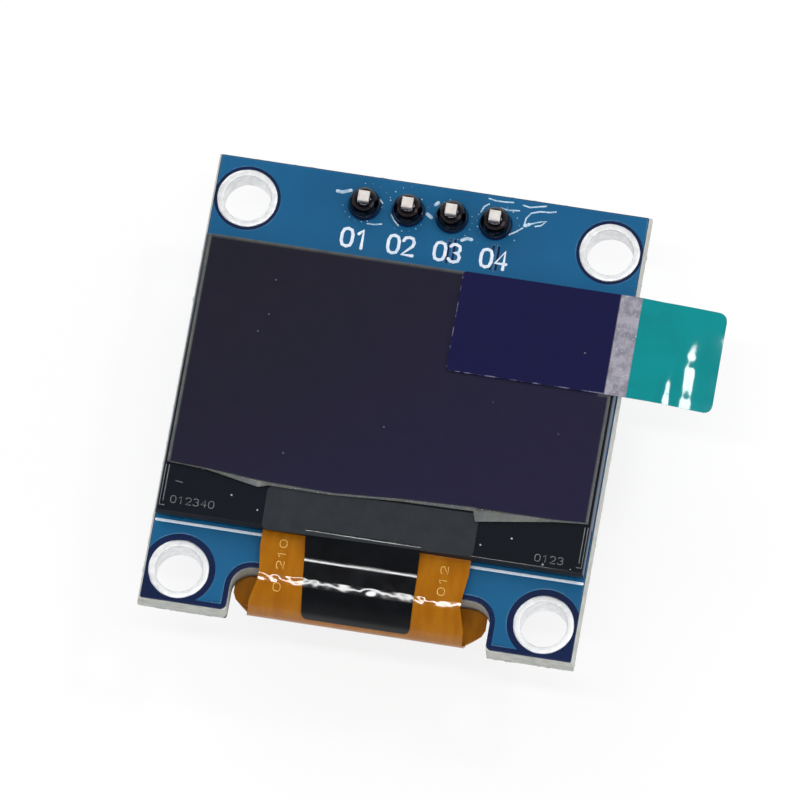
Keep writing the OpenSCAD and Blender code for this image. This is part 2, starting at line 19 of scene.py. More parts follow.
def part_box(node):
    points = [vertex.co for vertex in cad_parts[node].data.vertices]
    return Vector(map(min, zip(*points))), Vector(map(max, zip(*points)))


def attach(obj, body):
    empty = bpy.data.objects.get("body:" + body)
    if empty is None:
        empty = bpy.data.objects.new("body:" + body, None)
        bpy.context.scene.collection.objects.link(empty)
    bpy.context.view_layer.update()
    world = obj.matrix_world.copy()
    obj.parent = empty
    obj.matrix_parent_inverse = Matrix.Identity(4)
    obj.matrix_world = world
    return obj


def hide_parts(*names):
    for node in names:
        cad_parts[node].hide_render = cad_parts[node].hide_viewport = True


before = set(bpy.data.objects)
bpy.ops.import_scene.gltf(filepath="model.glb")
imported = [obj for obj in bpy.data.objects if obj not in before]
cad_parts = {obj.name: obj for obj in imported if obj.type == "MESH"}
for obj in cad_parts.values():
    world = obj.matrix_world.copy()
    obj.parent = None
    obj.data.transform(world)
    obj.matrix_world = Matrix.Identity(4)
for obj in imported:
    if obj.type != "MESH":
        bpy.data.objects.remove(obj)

LOG = logging.getLogger("oled_module")
MM = 0.001
BODY = "root"

Point2 = tuple[float, float]
Point3 = tuple[float, float, float]


# ---- Small helpers ---------------------------------------------------------


def linear(code: str) -> tuple[float, float, float, float]:
    """Turns an sRGB hex colour to linear light.

    Args:
        code: Six hex digits after a hash sign.

    Returns:
        Red, green, blue and an alpha of 1.
    """
    parts = [int(code[i : i + 2], 16) / 255 for i in (1, 3, 5)]
    lin = [p / 12.92 if p <= 0.04045 else ((p + 0.055) / 1.055) ** 2.4 for p in parts]
    return (lin[0], lin[1], lin[2], 1.0)


def add_node(
    tree: bpy.types.NodeTree,
    kind: str,
    settings: dict[Any, Any] | None = None,
    links: dict[Any, bpy.types.NodeSocket] | None = None,
) -> bpy.types.Node:
    """Adds one node, with its settings and its incoming links.

    Args:
        tree: The node tree that gets the node.
        kind: Blender's type name of the node.
        settings: Properties of the node, or values of its sockets by name or number.
        links: Output sockets to join, by the name or number of the input.

    Returns:
        The new node.
    """
    node = tree.nodes.new(kind)
    for key, value in (settings or {}).items():
        if isinstance(key, str) and key in node.bl_rna.properties:
            setattr(node, key, value)
        else:
            node.inputs[key].default_value = value
    for key, source in (links or {}).items():
        tree.links.new(source, node.inputs[key])
    return node


def box_mm(node: str) -> tuple[Vector, Vector]:
    """Returns the corners of a solid in millimetres."""
    low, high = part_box(node)
    return low / MM, high / MM


def finish_mesh(mesh: bpy.types.Mesh, smooth: float | None, weld: float = 1e-7) -> None:
    """Welds a mesh, turns its faces outwards and sets its shading.

    Args:
        mesh: The mesh to finish, in metres.
        smooth: Angle in degrees up to which edges are shaded smooth, or None for flat.
        weld: Distance in metres within which vertices are one.
    """
    work = bmesh.new()
    work.from_mesh(mesh)
    bmesh.ops.remove_doubles(work, verts=work.verts, dist=weld)
    bmesh.ops.recalc_face_normals(work, faces=work.faces)
    work.to_mesh(mesh)
    work.free()
    if smooth is not None:
        mesh.polygons.foreach_set("use_smooth", [True] * len(mesh.polygons))
        mesh.set_sharp_from_angle(angle=math.radians(smooth))
    mesh.update()


def piece_from(
    name: str,
    verts: Sequence[Point3],
    faces: Sequence[Sequence[int]],
    smooth: float | None = 40.0,
) -> bpy.types.Object:
    """Makes a mesh object at the origin from points in millimetres.

    Args:
        name: Name of the piece.
        verts: Points in millimetres.
        faces: Corner numbers of each face.
        smooth: Angle in degrees for smooth shading, or None for flat.

    Returns:
        The new object, linked to the scene.
    """
    mesh = bpy.data.meshes.new(name)
    mesh.from_pydata([Vector(v) * MM for v in verts], [], faces)
    finish_mesh(mesh, smooth)
    piece = bpy.data.objects.new(name, mesh)
    bpy.context.scene.collection.objects.link(piece)
    return piece


def plain_mesh(source: bpy.types.Object, name: str, smooth: float | None) -> bpy.types.Object:
    """Turns an object with modifiers, or a curve, into a plain mesh object.

    Args:
        source: The object to evaluate. It is removed.
        name: Name of the result.
        smooth: Angle in degrees for smooth shading, or None for flat.

    Returns:
        The plain mesh object at the origin.
    """
    graph = bpy.context.evaluated_depsgraph_get()
    mesh = bpy.data.meshes.new_from_object(source.evaluated_get(graph))
    bpy.data.objects.remove(source)
    mesh.name = name
    finish_mesh(mesh, smooth)
    piece = bpy.data.objects.new(name, mesh)
    bpy.context.scene.collection.objects.link(piece)
    return piece


def along_knots(knots: Sequence[Point2], place: float) -> float:
    """Returns a value between knots of place and value, eased from one to the next."""
    for (x0, v0), (x1, v1) in zip(knots, knots[1:]):
        if place <= x1:
            t = min(1.0, max(0.0, (place - x0) / (x1 - x0)))
            return v0 + (v1 - v0) * t
    return knots[-1][1]


def rounded(corners: Sequence[tuple[float, float, float]], steps: int = 7) -> list[Point2]:
    """Rounds the corners of a closed outline.

    Args:
        corners: x, y and radius of each corner, in order.
        steps: Pieces that each round corner is drawn with.

    Returns:
        The points of the rounded outline.
    """
    points: list[Point2] = []
    for i, (x, y, radius) in enumerate(corners):
        here = Vector((x, y))
        back = (Vector(corners[i - 1][:2]) - here).normalized()
        ahead = (Vector(corners[(i + 1) % len(corners)][:2]) - here).normalized()
        half = back.angle(ahead) / 2
        if radius <= 0 or abs(half - math.pi / 2) < 1e-3:
            points.append((x, y))
            continue
        start = here + back * (radius / math.tan(half))
        centre = here + (back + ahead).normalized() * (radius / math.sin(half))
        arm = start - centre
        turn = math.pi - 2 * half
        side = 1 if back.x * ahead.y - back.y * ahead.x < 0 else -1
        for k in range(steps + 1):
            spun = Matrix.Rotation(side * turn * k / steps, 2) @ arm
            points.append((centre.x + spun.x, centre.y + spun.y))
    return points


def bitten(outline: Sequence[Point2], centre: Point2, radius: float) -> list[Point2]:
    """Cuts a round bite out of an outline where a circle crosses its edge.

    Args:
        outline: Closed outline, counter-clockwise.
        centre: Middle of the bite.
        radius: Radius of the bite.

    Returns:
        The outline without the bite, and without any corner that the bite cuts off.
    """
    mid = Vector(centre)
    points = [Vector(p) for p in outline]
    crossings: list[tuple[float, int, Vector]] = []
    walked = 0.0
    for i, here in enumerate(points):
        step = points[(i + 1) % len(points)] - here
        a, b = step.length_squared, 2 * step.dot(here - mid)
        root = b * b - 4 * a * ((here - mid).length_squared - radius**2)
        if a > 1e-12 and root > 0:
            for sign in (-1, 1):
                t = (-b + sign * math.sqrt(root)) / (2 * a)
                if 0 <= t < 1:
                    crossings.append((walked + t * step.length, i, here + step * t))
        walked += step.length
    gaps = [
        ((crossings[(k + 1) % len(crossings)][0] - crossings[k][0]) % walked, k)
        for k in range(len(crossings))
    ]
    _, k = max(gaps)
    _, first, start = crossings[k]
    _, last, end = crossings[(k + 1) % len(crossings)]
    count = len(points)
    inner = (last - first) % count or count
    kept = [start, *(points[(first + 1 + j) % count] for j in range(inner)), end]
    a0 = math.atan2(end.y - mid.y, end.x - mid.x)
    a1 = math.atan2(start.y - mid.y, start.x - mid.x)
    span = (a0 - a1) % (2 * math.pi)
    steps = max(4, int(span / 0.12))
    for j in range(1, steps):
        a = a0 - span * j / steps
        kept.append(Vector((mid.x + radius * math.cos(a), mid.y + radius * math.sin(a))))
    return [(p.x, p.y) for p in kept]


def circle(x: float, y: float, radius: float, steps: int = 48) -> list[Point2]:
    """Returns the points of a circle."""
    turns = [2 * math.pi * k / steps for k in range(steps)]
    return [(x + radius * math.cos(a), y + radius * math.sin(a)) for a in turns]


def soft_plate(
    name: str, outlines: Sequence[Sequence[Point2]], z: float, rise: float, shoulder: float
) -> bpy.types.Object:
    """Makes a flat plate with soft shoulders, such as mask over copper.

    Args:
        name: Name of the piece.
        outlines: The outer outline, then holes and islands.
        z: Height of the plate's outer face; below zero it faces down.
        rise: How far the plate stands out of what carries it.
        shoulder: Width of the slope at its edges.

    Returns:
        The plate. Its lower half is sunk in what carries it.
    """
    curve = bpy.data.curves.new(name, "CURVE")
    curve.dimensions = "2D"
    curve.fill_mode = "BOTH"
    for outline in outlines:
        spline = curve.splines.new("POLY")
        spline.points.add(len(outline) - 1)
        for point, (x, y) in zip(spline.points, outline):
            point.co = (x, y, 0, 1)
        spline.use_cyclic_u = True
    curve.offset = -shoulder
    curve.bevel_depth = shoulder
    curve.bevel_resolution = 3
    source = bpy.data.objects.new(name, curve)
    bpy.context.scene.collection.objects.link(source)
    bpy.context.view_layer.update()
    piece = plain_mesh(source, name, None)
    bpy.data.curves.remove(curve)
    outer = 1 if z > 0 else -1
    piece.data.transform(
        Matrix.Translation((0, 0, (z - outer * rise) * MM))
        @ Matrix.Diagonal((MM, MM, rise / shoulder * MM, 1))
    )
    finish_mesh(piece.data, 50)
    return piece


def ink_strokes(
    name: str, paths: Sequence[Sequence[Point2]], width: float, z: float, rise: float
) -> bpy.types.Object:
    """Draws lines of ink or metal with round ends on a flat face.

    Args:
        name: Name of the piece.
        paths: The open lines to draw.
        width: Width of each line.
        z: Height of the face that carries them.
        rise: Height of the ink above that face, below zero on a face that looks down.

    Returns:
        One mesh that holds all the lines.
    """
    curve = bpy.data.curves.new(name, "CURVE")
    curve.dimensions = "3D"
    curve.bevel_depth = width / 2
    curve.bevel_resolution = 2
    curve.use_fill_caps = True
    cap = ((0.0, 0.12), (0.08, 0.42), (0.35, 0.78), (0.7, 0.96))
    for path in paths:
        points = [Vector(p) for p in path]
        first = (points[1] - points[0]).normalized()
        last = (points[-2] - points[-1]).normalized()
        start = [(points[0] + first * (d - 1) * width / 2, r) for d, r in cap]
        end = [(points[-1] + last * (d - 1) * width / 2, r) for d, r in reversed(cap)]
        whole = start + [(p, 1.0) for p in points] + end
        spline = curve.splines.new("POLY")
        spline.points.add(len(whole) - 1)
        for point, (place, radius) in zip(spline.points, whole):
            point.co = (place.x, place.y, 0, 1)
            point.radius = radius
    source = bpy.data.objects.new(name, curve)
    bpy.context.scene.collection.objects.link(source)
    bpy.context.view_layer.update()
    piece = plain_mesh(source, name, None)
    bpy.data.curves.remove(curve)
    squash = abs(rise) / (width / 2) * MM
    piece.data.transform(Matrix.Translation((0, 0, z * MM)) @ Matrix.Diagonal((MM, MM, squash, 1)))
    finish_mesh(piece.data, 50)
    return piece


def lathe(
    name: str,
    profile: Sequence[Point2],
    centre: Point2,
    steps: int,
    shift: Callable[[float, float], Point2] | None = None,
) -> bpy.types.Object:
    """Turns a closed profile round an upright axis.

    Args:
        name: Name of the piece.
        profile: Radius and height of each corner, in order round the section.
        centre: Where the axis stands.
        steps: Facets round the axis.
        shift: Extra radius and height, from the turn and the height.

    Returns:
        The turned piece.
    """
    verts: list[Point3] = []
    count = len(profile)
    for i in range(steps):
        turn = 2 * math.pi * i / steps
        for radius, height in profile:
            more = shift(turn, height) if shift else (0.0, 0.0)
            r = radius + more[0]
            verts.append(
                (centre[0] + r * math.cos(turn), centre[1] + r * math.sin(turn), height + more[1])
            )
    faces = []
    for i in range(steps):
        for j in range(count):
            a, b = i * count, ((i + 1) % steps) * count
            k = (j + 1) % count
            faces.append((a + j, b + j, b + k, a + k))
    return piece_from(name, verts, faces, 50)


def sheet_mesh(
    name: str,
    rows: Sequence[Sequence[Point3]],
    normals: Sequence[Sequence[Vector]],
    thick: float,
    haze: Sequence[Sequence[float]] | None = None,
) -> bpy.types.Object:
    """Makes a closed thin sheet from a grid of points on its middle.

    Args:
        name: Name of the piece.
        rows: Rows of points, all of one length.
        normals: The sheet's normal at each point.
        thick: Thickness of the sheet.
        haze: How milky the sheet is at each point, kept as an attribute.

    Returns:
        The sheet, closed at its edges.
    """
    n, m = len(rows), len(rows[0])
    verts: list[Point3] = []
    for side in (1, -1):
        for row, ups in zip(rows, normals):
            for point, up in zip(row, ups):
                verts.append(tuple(Vector(point) + up * side * thick / 2))
    faces = []
    under = n * m
    for i in range(n - 1):
        for j in range(m - 1):
            a, b, c, d = i * m + j, i * m + j + 1, (i + 1) * m + j + 1, (i + 1) * m + j
            faces.append((a, b, c, d))
            faces.append((under + d, under + c, under + b, under + a))
    rim = [j for j in range(m)] + [i * m + m - 1 for i in range(1, n)]
    rim += [(n - 1) * m + j for j in range(m - 2, -1, -1)] + [i * m for i in range(n - 2, 0, -1)]
    for a, b in zip(rim, rim[1:] + rim[:1]):
        faces.append((b, a, under + a, under + b))
    mesh = bpy.data.meshes.new(name)
    mesh.from_pydata([Vector(v) * MM for v in verts], [], faces)
    if haze:
        layer = mesh.attributes.new("haze", "FLOAT", "POINT")
        layer.data.foreach_set("value", [v for row in haze for v in row] * 2)
    finish_mesh(mesh, 50)
    piece = bpy.data.objects.new(name, mesh)
    bpy.context.scene.collection.objects.link(piece)
    return piece


# ---- Finishes --------------------------------------------------------------


@dataclass(frozen=True)
class Finish:
    """A surface: patches of two colours, uneven gloss and a fine grain."""

    name: str
    slot: str
    colour: str
    patch: str
    patch_mm: float = 1.5
    rough: tuple[float, float] = (0.3, 0.42)
    metallic: float = 0.0
    specular: float = 0.5
    coat: float = 0.0
    grain_mm: float = 0.12
    grain_depth_mm: float = 0.002
    stretch: Point3 = (1.0, 1.0, 1.0)

    def material(self) -> bpy.types.Material:
        """Returns the finish's material, which is made on the first call."""
        made = bpy.data.materials.get(self.name)
        if made:
            return made
        made = bpy.data.materials.new(self.name)
        made.use_nodes = True
        tree = made.node_tree
        tree.nodes.clear()
        place = add_node(tree, "ShaderNodeTexCoord").outputs["Object"]
        settings = {
            "Metallic": self.metallic,
            "Coat Weight": self.coat,
            "Coat Roughness": 0.12,
        }
        if self.metallic < 0.5:
            settings["Specular IOR Level"] = self.specular
        shader = add_node(tree, "ShaderNodeBsdfPrincipled", settings)
        self.paint(tree, place, shader)
        add_node(tree, "ShaderNodeOutputMaterial", {}, {"Surface": shader.outputs[0]})
        return made

    def noise(
        self, tree: bpy.types.NodeTree, place: bpy.types.NodeSocket, size_mm: float, detail: float
    ) -> bpy.types.NodeSocket:
        """Adds a noise of a real size.

        Args:
            tree: The material's nodes.
            place: Object coordinates, in metres.
            size_mm: Size of one patch of the noise.
            detail: How many finer layers it holds.

        Returns:
            The noise, from 0 to 1.
        """
        spread = add_node(tree, "ShaderNodeMapping", {"Scale": self.stretch}, {"Vector": place})
        return add_node(
            tree,
            "ShaderNodeTexNoise",
            {"Scale": 1 / (size_mm * MM), "Detail": detail, "Roughness": 0.55},
            {"Vector": spread.outputs[0]},
        ).outputs[0]

    def paint(
        self, tree: bpy.types.NodeTree, place: bpy.types.NodeSocket, shader: bpy.types.Node
    ) -> None:
        """Gives the shader its colour, gloss and grain.

        Args:
            tree: The material's nodes.
            place: Object coordinates, in metres.
            shader: The Principled shader.
        """
        tree.links.new(self.colours(tree, place), shader.inputs["Base Color"])
        gloss = add_node(
            tree,
            "ShaderNodeMapRange",
            {1: 0.3, 2: 0.7, 3: self.rough[0], 4: self.rough[1]},
            {0: self.noise(tree, place, self.patch_mm * 0.7, 3)},
        )
        tree.links.new(gloss.outputs[0], shader.inputs["Roughness"])
        grain = add_node(
            tree,
            "ShaderNodeBump",
            {"Strength": 1.0, "Distance": self.grain_depth_mm * MM},
            {"Height": self.noise(tree, place, self.grain_mm, 2)},
        )
        tree.links.new(grain.outputs[0], shader.inputs["Normal"])

    def colours(
        self, tree: bpy.types.NodeTree, place: bpy.types.NodeSocket
    ) -> bpy.types.NodeSocket:
        """Returns the colour over the surface: patches of the two colours."""
        return self.blend(
            tree, self.noise(tree, place, self.patch_mm, 3), self.colour, self.patch, (0.3, 0.7)
        )

    def blend(
        self,
        tree: bpy.types.NodeTree,
        by: bpy.types.NodeSocket,
        low: str | bpy.types.NodeSocket,
        high: str | bpy.types.NodeSocket,
        span: Point2 = (0.0, 1.0),
    ) -> bpy.types.NodeSocket:
        """Blends two colours by a value.

        Args:
            tree: The material's nodes.
            by: The value that chooses between them.
            low: Colour where the value is at the start of the span.
            high: Colour where it is at the end.
            span: Start and end of the change.

        Returns:
            The blended colour.
        """
        factor = add_node(
            tree,
            "ShaderNodeMapRange",
            {"interpolation_type": "SMOOTHSTEP", 1: span[0], 2: span[1]},
            {0: by},
        )
        mix = add_node(tree, "ShaderNodeMix", {"data_type": "RGBA"}, {0: factor.outputs[0]})
        for number, colour in ((6, low), (7, high)):
            if isinstance(colour, str):
                mix.inputs[number].default_value = linear(colour)
            else:
                tree.links.new(colour, mix.inputs[number])
        return mix.outputs[2]

    def band(
        self, tree: bpy.types.NodeTree, place: bpy.types.NodeSocket, axis: int, span_mm: Point2
    ) -> bpy.types.NodeSocket:
        """Returns a value that goes from 0 to 1 over a stretch of one axis.

        Args:
            tree: The material's nodes.
            place: Object coordinates, in metres.
            axis: 0, 1 or 2 for X, Y or Z.
            span_mm: Where the value is 0 and where it is 1.
        """
        split = add_node(tree, "ShaderNodeSeparateXYZ", {}, {0: place})
        return add_node(
            tree,
            "ShaderNodeMapRange",
            {1: span_mm[0] * MM, 2: span_mm[1] * MM},
            {0: split.outputs[axis]},
        ).outputs[0]


@dataclass(frozen=True)
class SnappedLaminate(Finish):
    """Glass cloth in resin where a board was snapped: pale, with ragged darker patches towards the back
    face.
    """

    lower_patch: str = "#6f706c"

    def colours(
        self, tree: bpy.types.NodeTree, place: bpy.types.NodeSocket
    ) -> bpy.types.NodeSocket:
        """Returns pale laminate with ragged darker patches towards the back face."""
        pale = super().colours(tree, place)
        # darker in ragged patches towards the back face
        ragged = self.noise(tree, place, 0.55, 4)
        height = self.band(tree, place, 2, (0.75, -0.1))
        both = add_node(tree, "ShaderNodeMath", {"operation": "MULTIPLY"}, {0: ragged, 1: height})
        return self.blend(tree, both.outputs[0], pale, self.lower_patch, (0.18, 0.28))


@dataclass(frozen=True)
class DarkPanel(Finish):
    """Glossy dark film or glass, whose cast drifts slowly across it."""

    far: str = "#2a263f"
    drift: tuple[Point2, Point2] = ((-10.0, 10.0), (8.0, -6.0))

    def colours(
        self, tree: bpy.types.NodeTree, place: bpy.types.NodeSocket
    ) -> bpy.types.NodeSocket:
        """Returns a slow drift from one dark cast to another, with faint patches."""
        across = self.band(tree, place, 0, self.drift[0])
        down = self.band(tree, place, 1, self.drift[1])
        both = add_node(tree, "ShaderNodeMath", {"operation": "ADD"}, {0: across, 1: down})
        patches = super().colours(tree, place)
        return self.blend(tree, both.outputs[0], patches, self.far, (0.2, 1.8))


@dataclass(frozen=True)
class GroundGlass(DarkPanel):
    """Dark glass whose cut edges are ground, so they are grey and dull, with a painted shade on the cut
    faces that face -Y.
    """

    edge: str = "#5d6473"
    painted_shade: str = "#12151c"

    def paint(
        self, tree: bpy.types.NodeTree, place: bpy.types.NodeSocket, shader: bpy.types.Node
    ) -> None:
        """Adds the ground edges to the polished faces, and a painted shade on those that face -Y."""
        super().paint(tree, place, shader)
        up = add_node(tree, "ShaderNodeNewGeometry").outputs["Normal"]
        tilt = add_node(tree, "ShaderNodeSeparateXYZ", {}, {0: up})
        size = add_node(
            tree, "ShaderNodeMath", {"operation": "ABSOLUTE"}, {0: tilt.outputs[2]}
        ).outputs[0]
        base = shader.inputs["Base Color"].links[0].from_socket
        # painted shade: cut faces turned towards -Y are painted dark, the others ground grey
        edge_and_painted_shade = self.blend(tree, tilt.outputs[1], self.painted_shade, self.edge, (-0.4, -0.1))
        tree.links.new(
            self.blend(tree, size, edge_and_painted_shade, base, (0.8, 0.97)), shader.inputs["Base Color"]
        )
        dull = add_node(tree, "ShaderNodeMapRange", {1: 0.8, 2: 0.97, 3: 0.55, 4: 0.08}, {0: size})
        tree.links.new(dull.outputs[0], shader.inputs["Roughness"])


@dataclass(frozen=True)
class ClearFilm(Finish):
    """Clear film: nearly nothing on the flat, painted grey where the sheet's haze says so, as painted
    highlight and painted reflection.
    """

    clear: float = 0.015
    sheen_alpha: float = 0.85

    def paint(
        self, tree: bpy.types.NodeTree, place: bpy.types.NodeSocket, shader: bpy.types.Node
    ) -> None:
        """Adds the film's clearness, which gives way to painted grey at its rim and where it lifts: a
        painted highlight and a painted reflection.
        """
        super().paint(tree, place, shader)
        # the haze attribute carries the painted highlight of the rim and the painted reflection of the
        # lifted lip
        haze = add_node(tree, "ShaderNodeAttribute", {"attribute_name": "haze"})
        cloud = self.noise(tree, place, 0.5, 3)
        uneven = add_node(
            tree, "ShaderNodeMapRange", {1: 0.25, 2: 0.75, 3: 0.65, 4: 1.15}, {0: cloud}
        )
        both = add_node(
            tree,
            "ShaderNodeMath",
            {"operation": "MULTIPLY"},
            {0: haze.outputs["Fac"], 1: uneven.outputs[0]},
        )
        alpha = add_node(
            tree, "ShaderNodeMapRange", {3: self.clear, 4: self.sheen_alpha}, {0: both.outputs[0]}
        )
        tree.links.new(alpha.outputs[0], shader.inputs["Alpha"])


@dataclass(frozen=True)
class TabFilm(Finish):
    """The pull tab: clear over the display with painted glints along its rim, hazy glue at its edge, tinted
    beyond.
    """

    over_display: str = "#1a1a42"
    haze: str = "#85838f"
    left: float = 2.6
    bottom: float = 2.35
    haze_from: float = 11.78
    tint_from: float = 13.02

    def colours(
        self, tree: bpy.types.NodeTree, place: bpy.types.NodeSocket
    ) -> bpy.types.NodeSocket:
        """Returns the three zones across the tab, specks of glue in the hazy zone, and painted glints
        broken along its left and lower rim.
        """
        tint = super().colours(tree, place)
        cloud = self.blend(tree, self.noise(tree, place, 0.8, 2), self.haze, "#a3a0ac", (0.4, 0.6))
        glue = self.blend(tree, self.noise(tree, place, 0.1, 1), cloud, "#d0d0d8", (0.66, 0.74))
        hazy = self.band(tree, place, 0, (self.haze_from - 0.05, self.haze_from + 0.05))
        tinted = self.band(tree, place, 0, (self.tint_from - 0.02, self.tint_from + 0.02))
        rim_x = self.band(tree, place, 0, (self.left + 0.1, self.left + 0.05))
        rim_y = self.band(tree, place, 1, (self.bottom + 0.1, self.bottom + 0.05))
        rim = add_node(tree, "ShaderNodeMath", {"operation": "MAXIMUM"}, {0: rim_x, 1: rim_y})
        painted_glints = add_node(
            tree,
            "ShaderNodeMath",
            {"operation": "MULTIPLY"},
            {0: rim.outputs[0], 1: self.noise(tree, place, 0.5, 2)},
        )
        # painted glints: the rim over the display is lighter in broken specks
        display = self.blend(tree, painted_glints.outputs[0], self.over_display, "#6f6f8c", (0.42, 0.66))
        return self.blend(tree, tinted, self.blend(tree, hazy, display, glue), tint)


class Finishes(Enum):
    """Every finish on the module, by the piece that wears it."""

    # Liquid photo-imaged epoxy mask over copper: even satin gloss, mid blue
    MASK_ON_COPPER = Finish(
        "Blue solder mask over copper", "board_laminate", "#105e8b", "#0e5884",
        patch_mm=5.0, rough=(0.26, 0.3), specular=0.35, grain_mm=0.4, grain_depth_mm=0.0004,
    )
    # The same mask straight on laminate: no copper behind it, so it looks navy
    MASK_ON_LAMINATE = Finish(
        "Blue solder mask over laminate", "board_laminate", "#071d48", "#06193e",
        patch_mm=3.0, rough=(0.26, 0.3), specular=0.35, grain_mm=0.4, grain_depth_mm=0.0004,
    )
    # Woven glass in epoxy, snapped along a groove: dull, pale, darker in ragged patches towards the back
    # face
    LAMINATE = SnappedLaminate(
        "Glass-fibre laminate, snapped", "board_laminate", "#cfd1cb", "#b4b6b0",
        patch_mm=0.35, rough=(0.6, 0.8), grain_mm=0.08, grain_depth_mm=0.015,
        stretch=(0.5, 0.5, 2.2),
    )
    # Hot-air levelled tin on copper: bright, but uneven from the melt
    TIN = Finish(
        "Hot-air levelled tin", "tinned_copper", "#f6f7f8", "#e6e7e9",
        patch_mm=0.5, rough=(0.46, 0.58), metallic=1.0, grain_mm=0.45, grain_depth_mm=0.012,
    )
    # Tin-lead solder under clear flux: its dark colour is a painted reflection of dark surroundings, with a
    # soft skin
    SOLDER_PAINTED_DARK = Finish(
        "Solder under flux, painted dark reflection", "solder", "#24262c", "#322c2e",
        patch_mm=0.6, rough=(0.1, 0.2), metallic=1.0, grain_mm=0.5, grain_depth_mm=0.008,
    )
    # Solder on the back, drawn thin over copper: brighter and duller
    BRIGHT_SOLDER = Finish(
        "Reflowed solder", "solder", "#c3c6ca", "#a9adb2",
        patch_mm=0.4, rough=(0.22, 0.36), metallic=1.0, grain_mm=0.2, grain_depth_mm=0.006,
    )
    # Brass pin with bright plating, cut square at its tip
    PIN = Finish(
        "Plated brass pin", "pin_metal", "#f3eeea", "#e6dcd6",
        patch_mm=0.5, rough=(0.42, 0.55), metallic=1.0, grain_mm=0.1, grain_depth_mm=0.003,
    )
    # Moulded nylon: matt black with a fine mould texture
    HEADER_PLASTIC = Finish(
        "Moulded black nylon", "header_plastic", "#161617", "#1e1e20",
        patch_mm=1.0, rough=(0.45, 0.6), grain_mm=0.06, grain_depth_mm=0.004,
    )
    # Screen-printed ink: dull white, a little thin in places
    INK = Finish(
        "White screen-print ink", "board_laminate", "#eef4fc", "#d3e2f4",
        patch_mm=0.3, rough=(0.5, 0.7), grain_mm=0.08, grain_depth_mm=0.004,
    )
    # Dried flux where it ran from the joints: glossy, its pale colour a painted highlight
    FLUX_PAINTED_HIGHLIGHT = Finish(
        "Dried flux, painted highlight", "solder", "#cfe2f2", "#8fb4cf",
        patch_mm=0.25, rough=(0.2, 0.5), grain_mm=0.1, grain_depth_mm=0.01,
    )
    # Soda-lime display glass with a dark coating behind, ground at its edges, with painted shade on its cut
    # faces towards -Y
    GLASS = GroundGlass(
        "Display glass, dark coated", "panel_glass", "#171b22", "#191d24",
        patch_mm=5.0, rough=(0.05, 0.08), specular=0.35, grain_mm=6.0, grain_depth_mm=0.0,
        far="#181b21",
    )
    # Circular polariser over unlit pixels: near black with a violet cast
    POLARISER = DarkPanel(
        "Circular polariser", "polariser_film", "#1b1a28", "#1d1a2b",
        patch_mm=5.0, rough=(0.1, 0.14), specular=0.3, grain_mm=6.0, grain_depth_mm=0.0,
        far="#201c38",
    )
    # Clear polyester film: it shows only where its grey is painted, as painted highlight at the rim and
    # painted reflection where it lifts
    FILM = ClearFilm(
        "Clear polyester film", "clear_film", "#717679", "#7d8078",
        patch_mm=0.8, rough=(0.25, 0.4), specular=0.3, grain_mm=0.5, grain_depth_mm=0.004,
    )
    # Tinted polyester tab, glued to the film
    TAB = TabFilm(
        "Tinted polyester tab", "tab_film", "#0f8c8f", "#118286",
        patch_mm=3.0, rough=(0.06, 0.09), specular=0.5, grain_mm=0.6, grain_depth_mm=0.002,
    )
    # Black polyester tape: satin, with a faint bluish cast
    TAPE = Finish(
        "Black polyester tape", "black_tape", "#20252a", "#252a30",
        patch_mm=0.8, rough=(0.42, 0.55), specular=0.25, grain_mm=0.08, grain_depth_mm=0.002,
    )
    # Polyimide over copper: amber, glossy, darker where copper lies behind
    POLYIMIDE = Finish(
        "Polyimide flex", "flex_polyimide", "#ab6c10", "#9f5f0a",
        patch_mm=1.2, rough=(0.07, 0.11), grain_mm=0.3, grain_depth_mm=0.001,
        stretch=(2.2, 0.6, 0.6),
    )
    # Black epoxy cover on the flex: wet-looking gloss
    COVER = Finish(
        "Black cover coat", "flex_cover_black", "#0b0c0f", "#101216",
        patch_mm=1.5, rough=(0.08, 0.14), grain_mm=0.8, grain_depth_mm=0.002,
    )
    # Brown barium titanate ceramic of a chip capacitor
    CHIP_CERAMIC = Finish(
        "Fired brown ceramic", "chip_ceramic", "#a07a52", "#8e6a45",
        patch_mm=0.4, rough=(0.4, 0.55), grain_mm=0.05, grain_depth_mm=0.003,
    )
    # Black glaze over a chip resistor's film
    CHIP_GLAZE = Finish(
        "Black chip glaze", "resistor_ceramic", "#17181a", "#202124",
        patch_mm=0.4, rough=(0.25, 0.35), grain_mm=0.1, grain_depth_mm=0.002,
    )
    # Moulded epoxy of a small transistor package: matt charcoal
    CHIP_RESIN = Finish(
        "Moulded black epoxy", "chip_resin", "#1a1a1c", "#242426",
        patch_mm=0.5, rough=(0.5, 0.65), grain_mm=0.05, grain_depth_mm=0.004,
    )
    # Bare polished silicon under a trace of resin
    SILICON = Finish(
        "Bare silicon", "bare_silicon", "#4a4e58", "#3c4049",
        patch_mm=1.0, rough=(0.15, 0.25), metallic=0.6, grain_mm=0.3, grain_depth_mm=0.001,
    )
    # Acrylic foam tape: dull off-white
    FOAM = Finish(
        "Acrylic foam tape", "adhesive_foam", "#d8d6cf", "#c9c7bf",
        patch_mm=0.6, rough=(0.7, 0.85), grain_mm=0.1, grain_depth_mm=0.01,
    )
    # Cured epoxy bead between the glasses
    SEAL = Finish(
        "Cured epoxy seal", "seal_resin", "#26272b", "#303136",
        patch_mm=0.5, rough=(0.35, 0.5), grain_mm=0.1, grain_depth_mm=0.003,
    )
    # Thin vacuum-coated metal lines on the glass: grey, slightly mirror-like
    MARK = Finish(
        "Etched metal on glass", "panel_glass", "#6f7577", "#5f6466",
        patch_mm=0.6, rough=(0.3, 0.4), grain_mm=0.1, grain_depth_mm=0.001,
    )
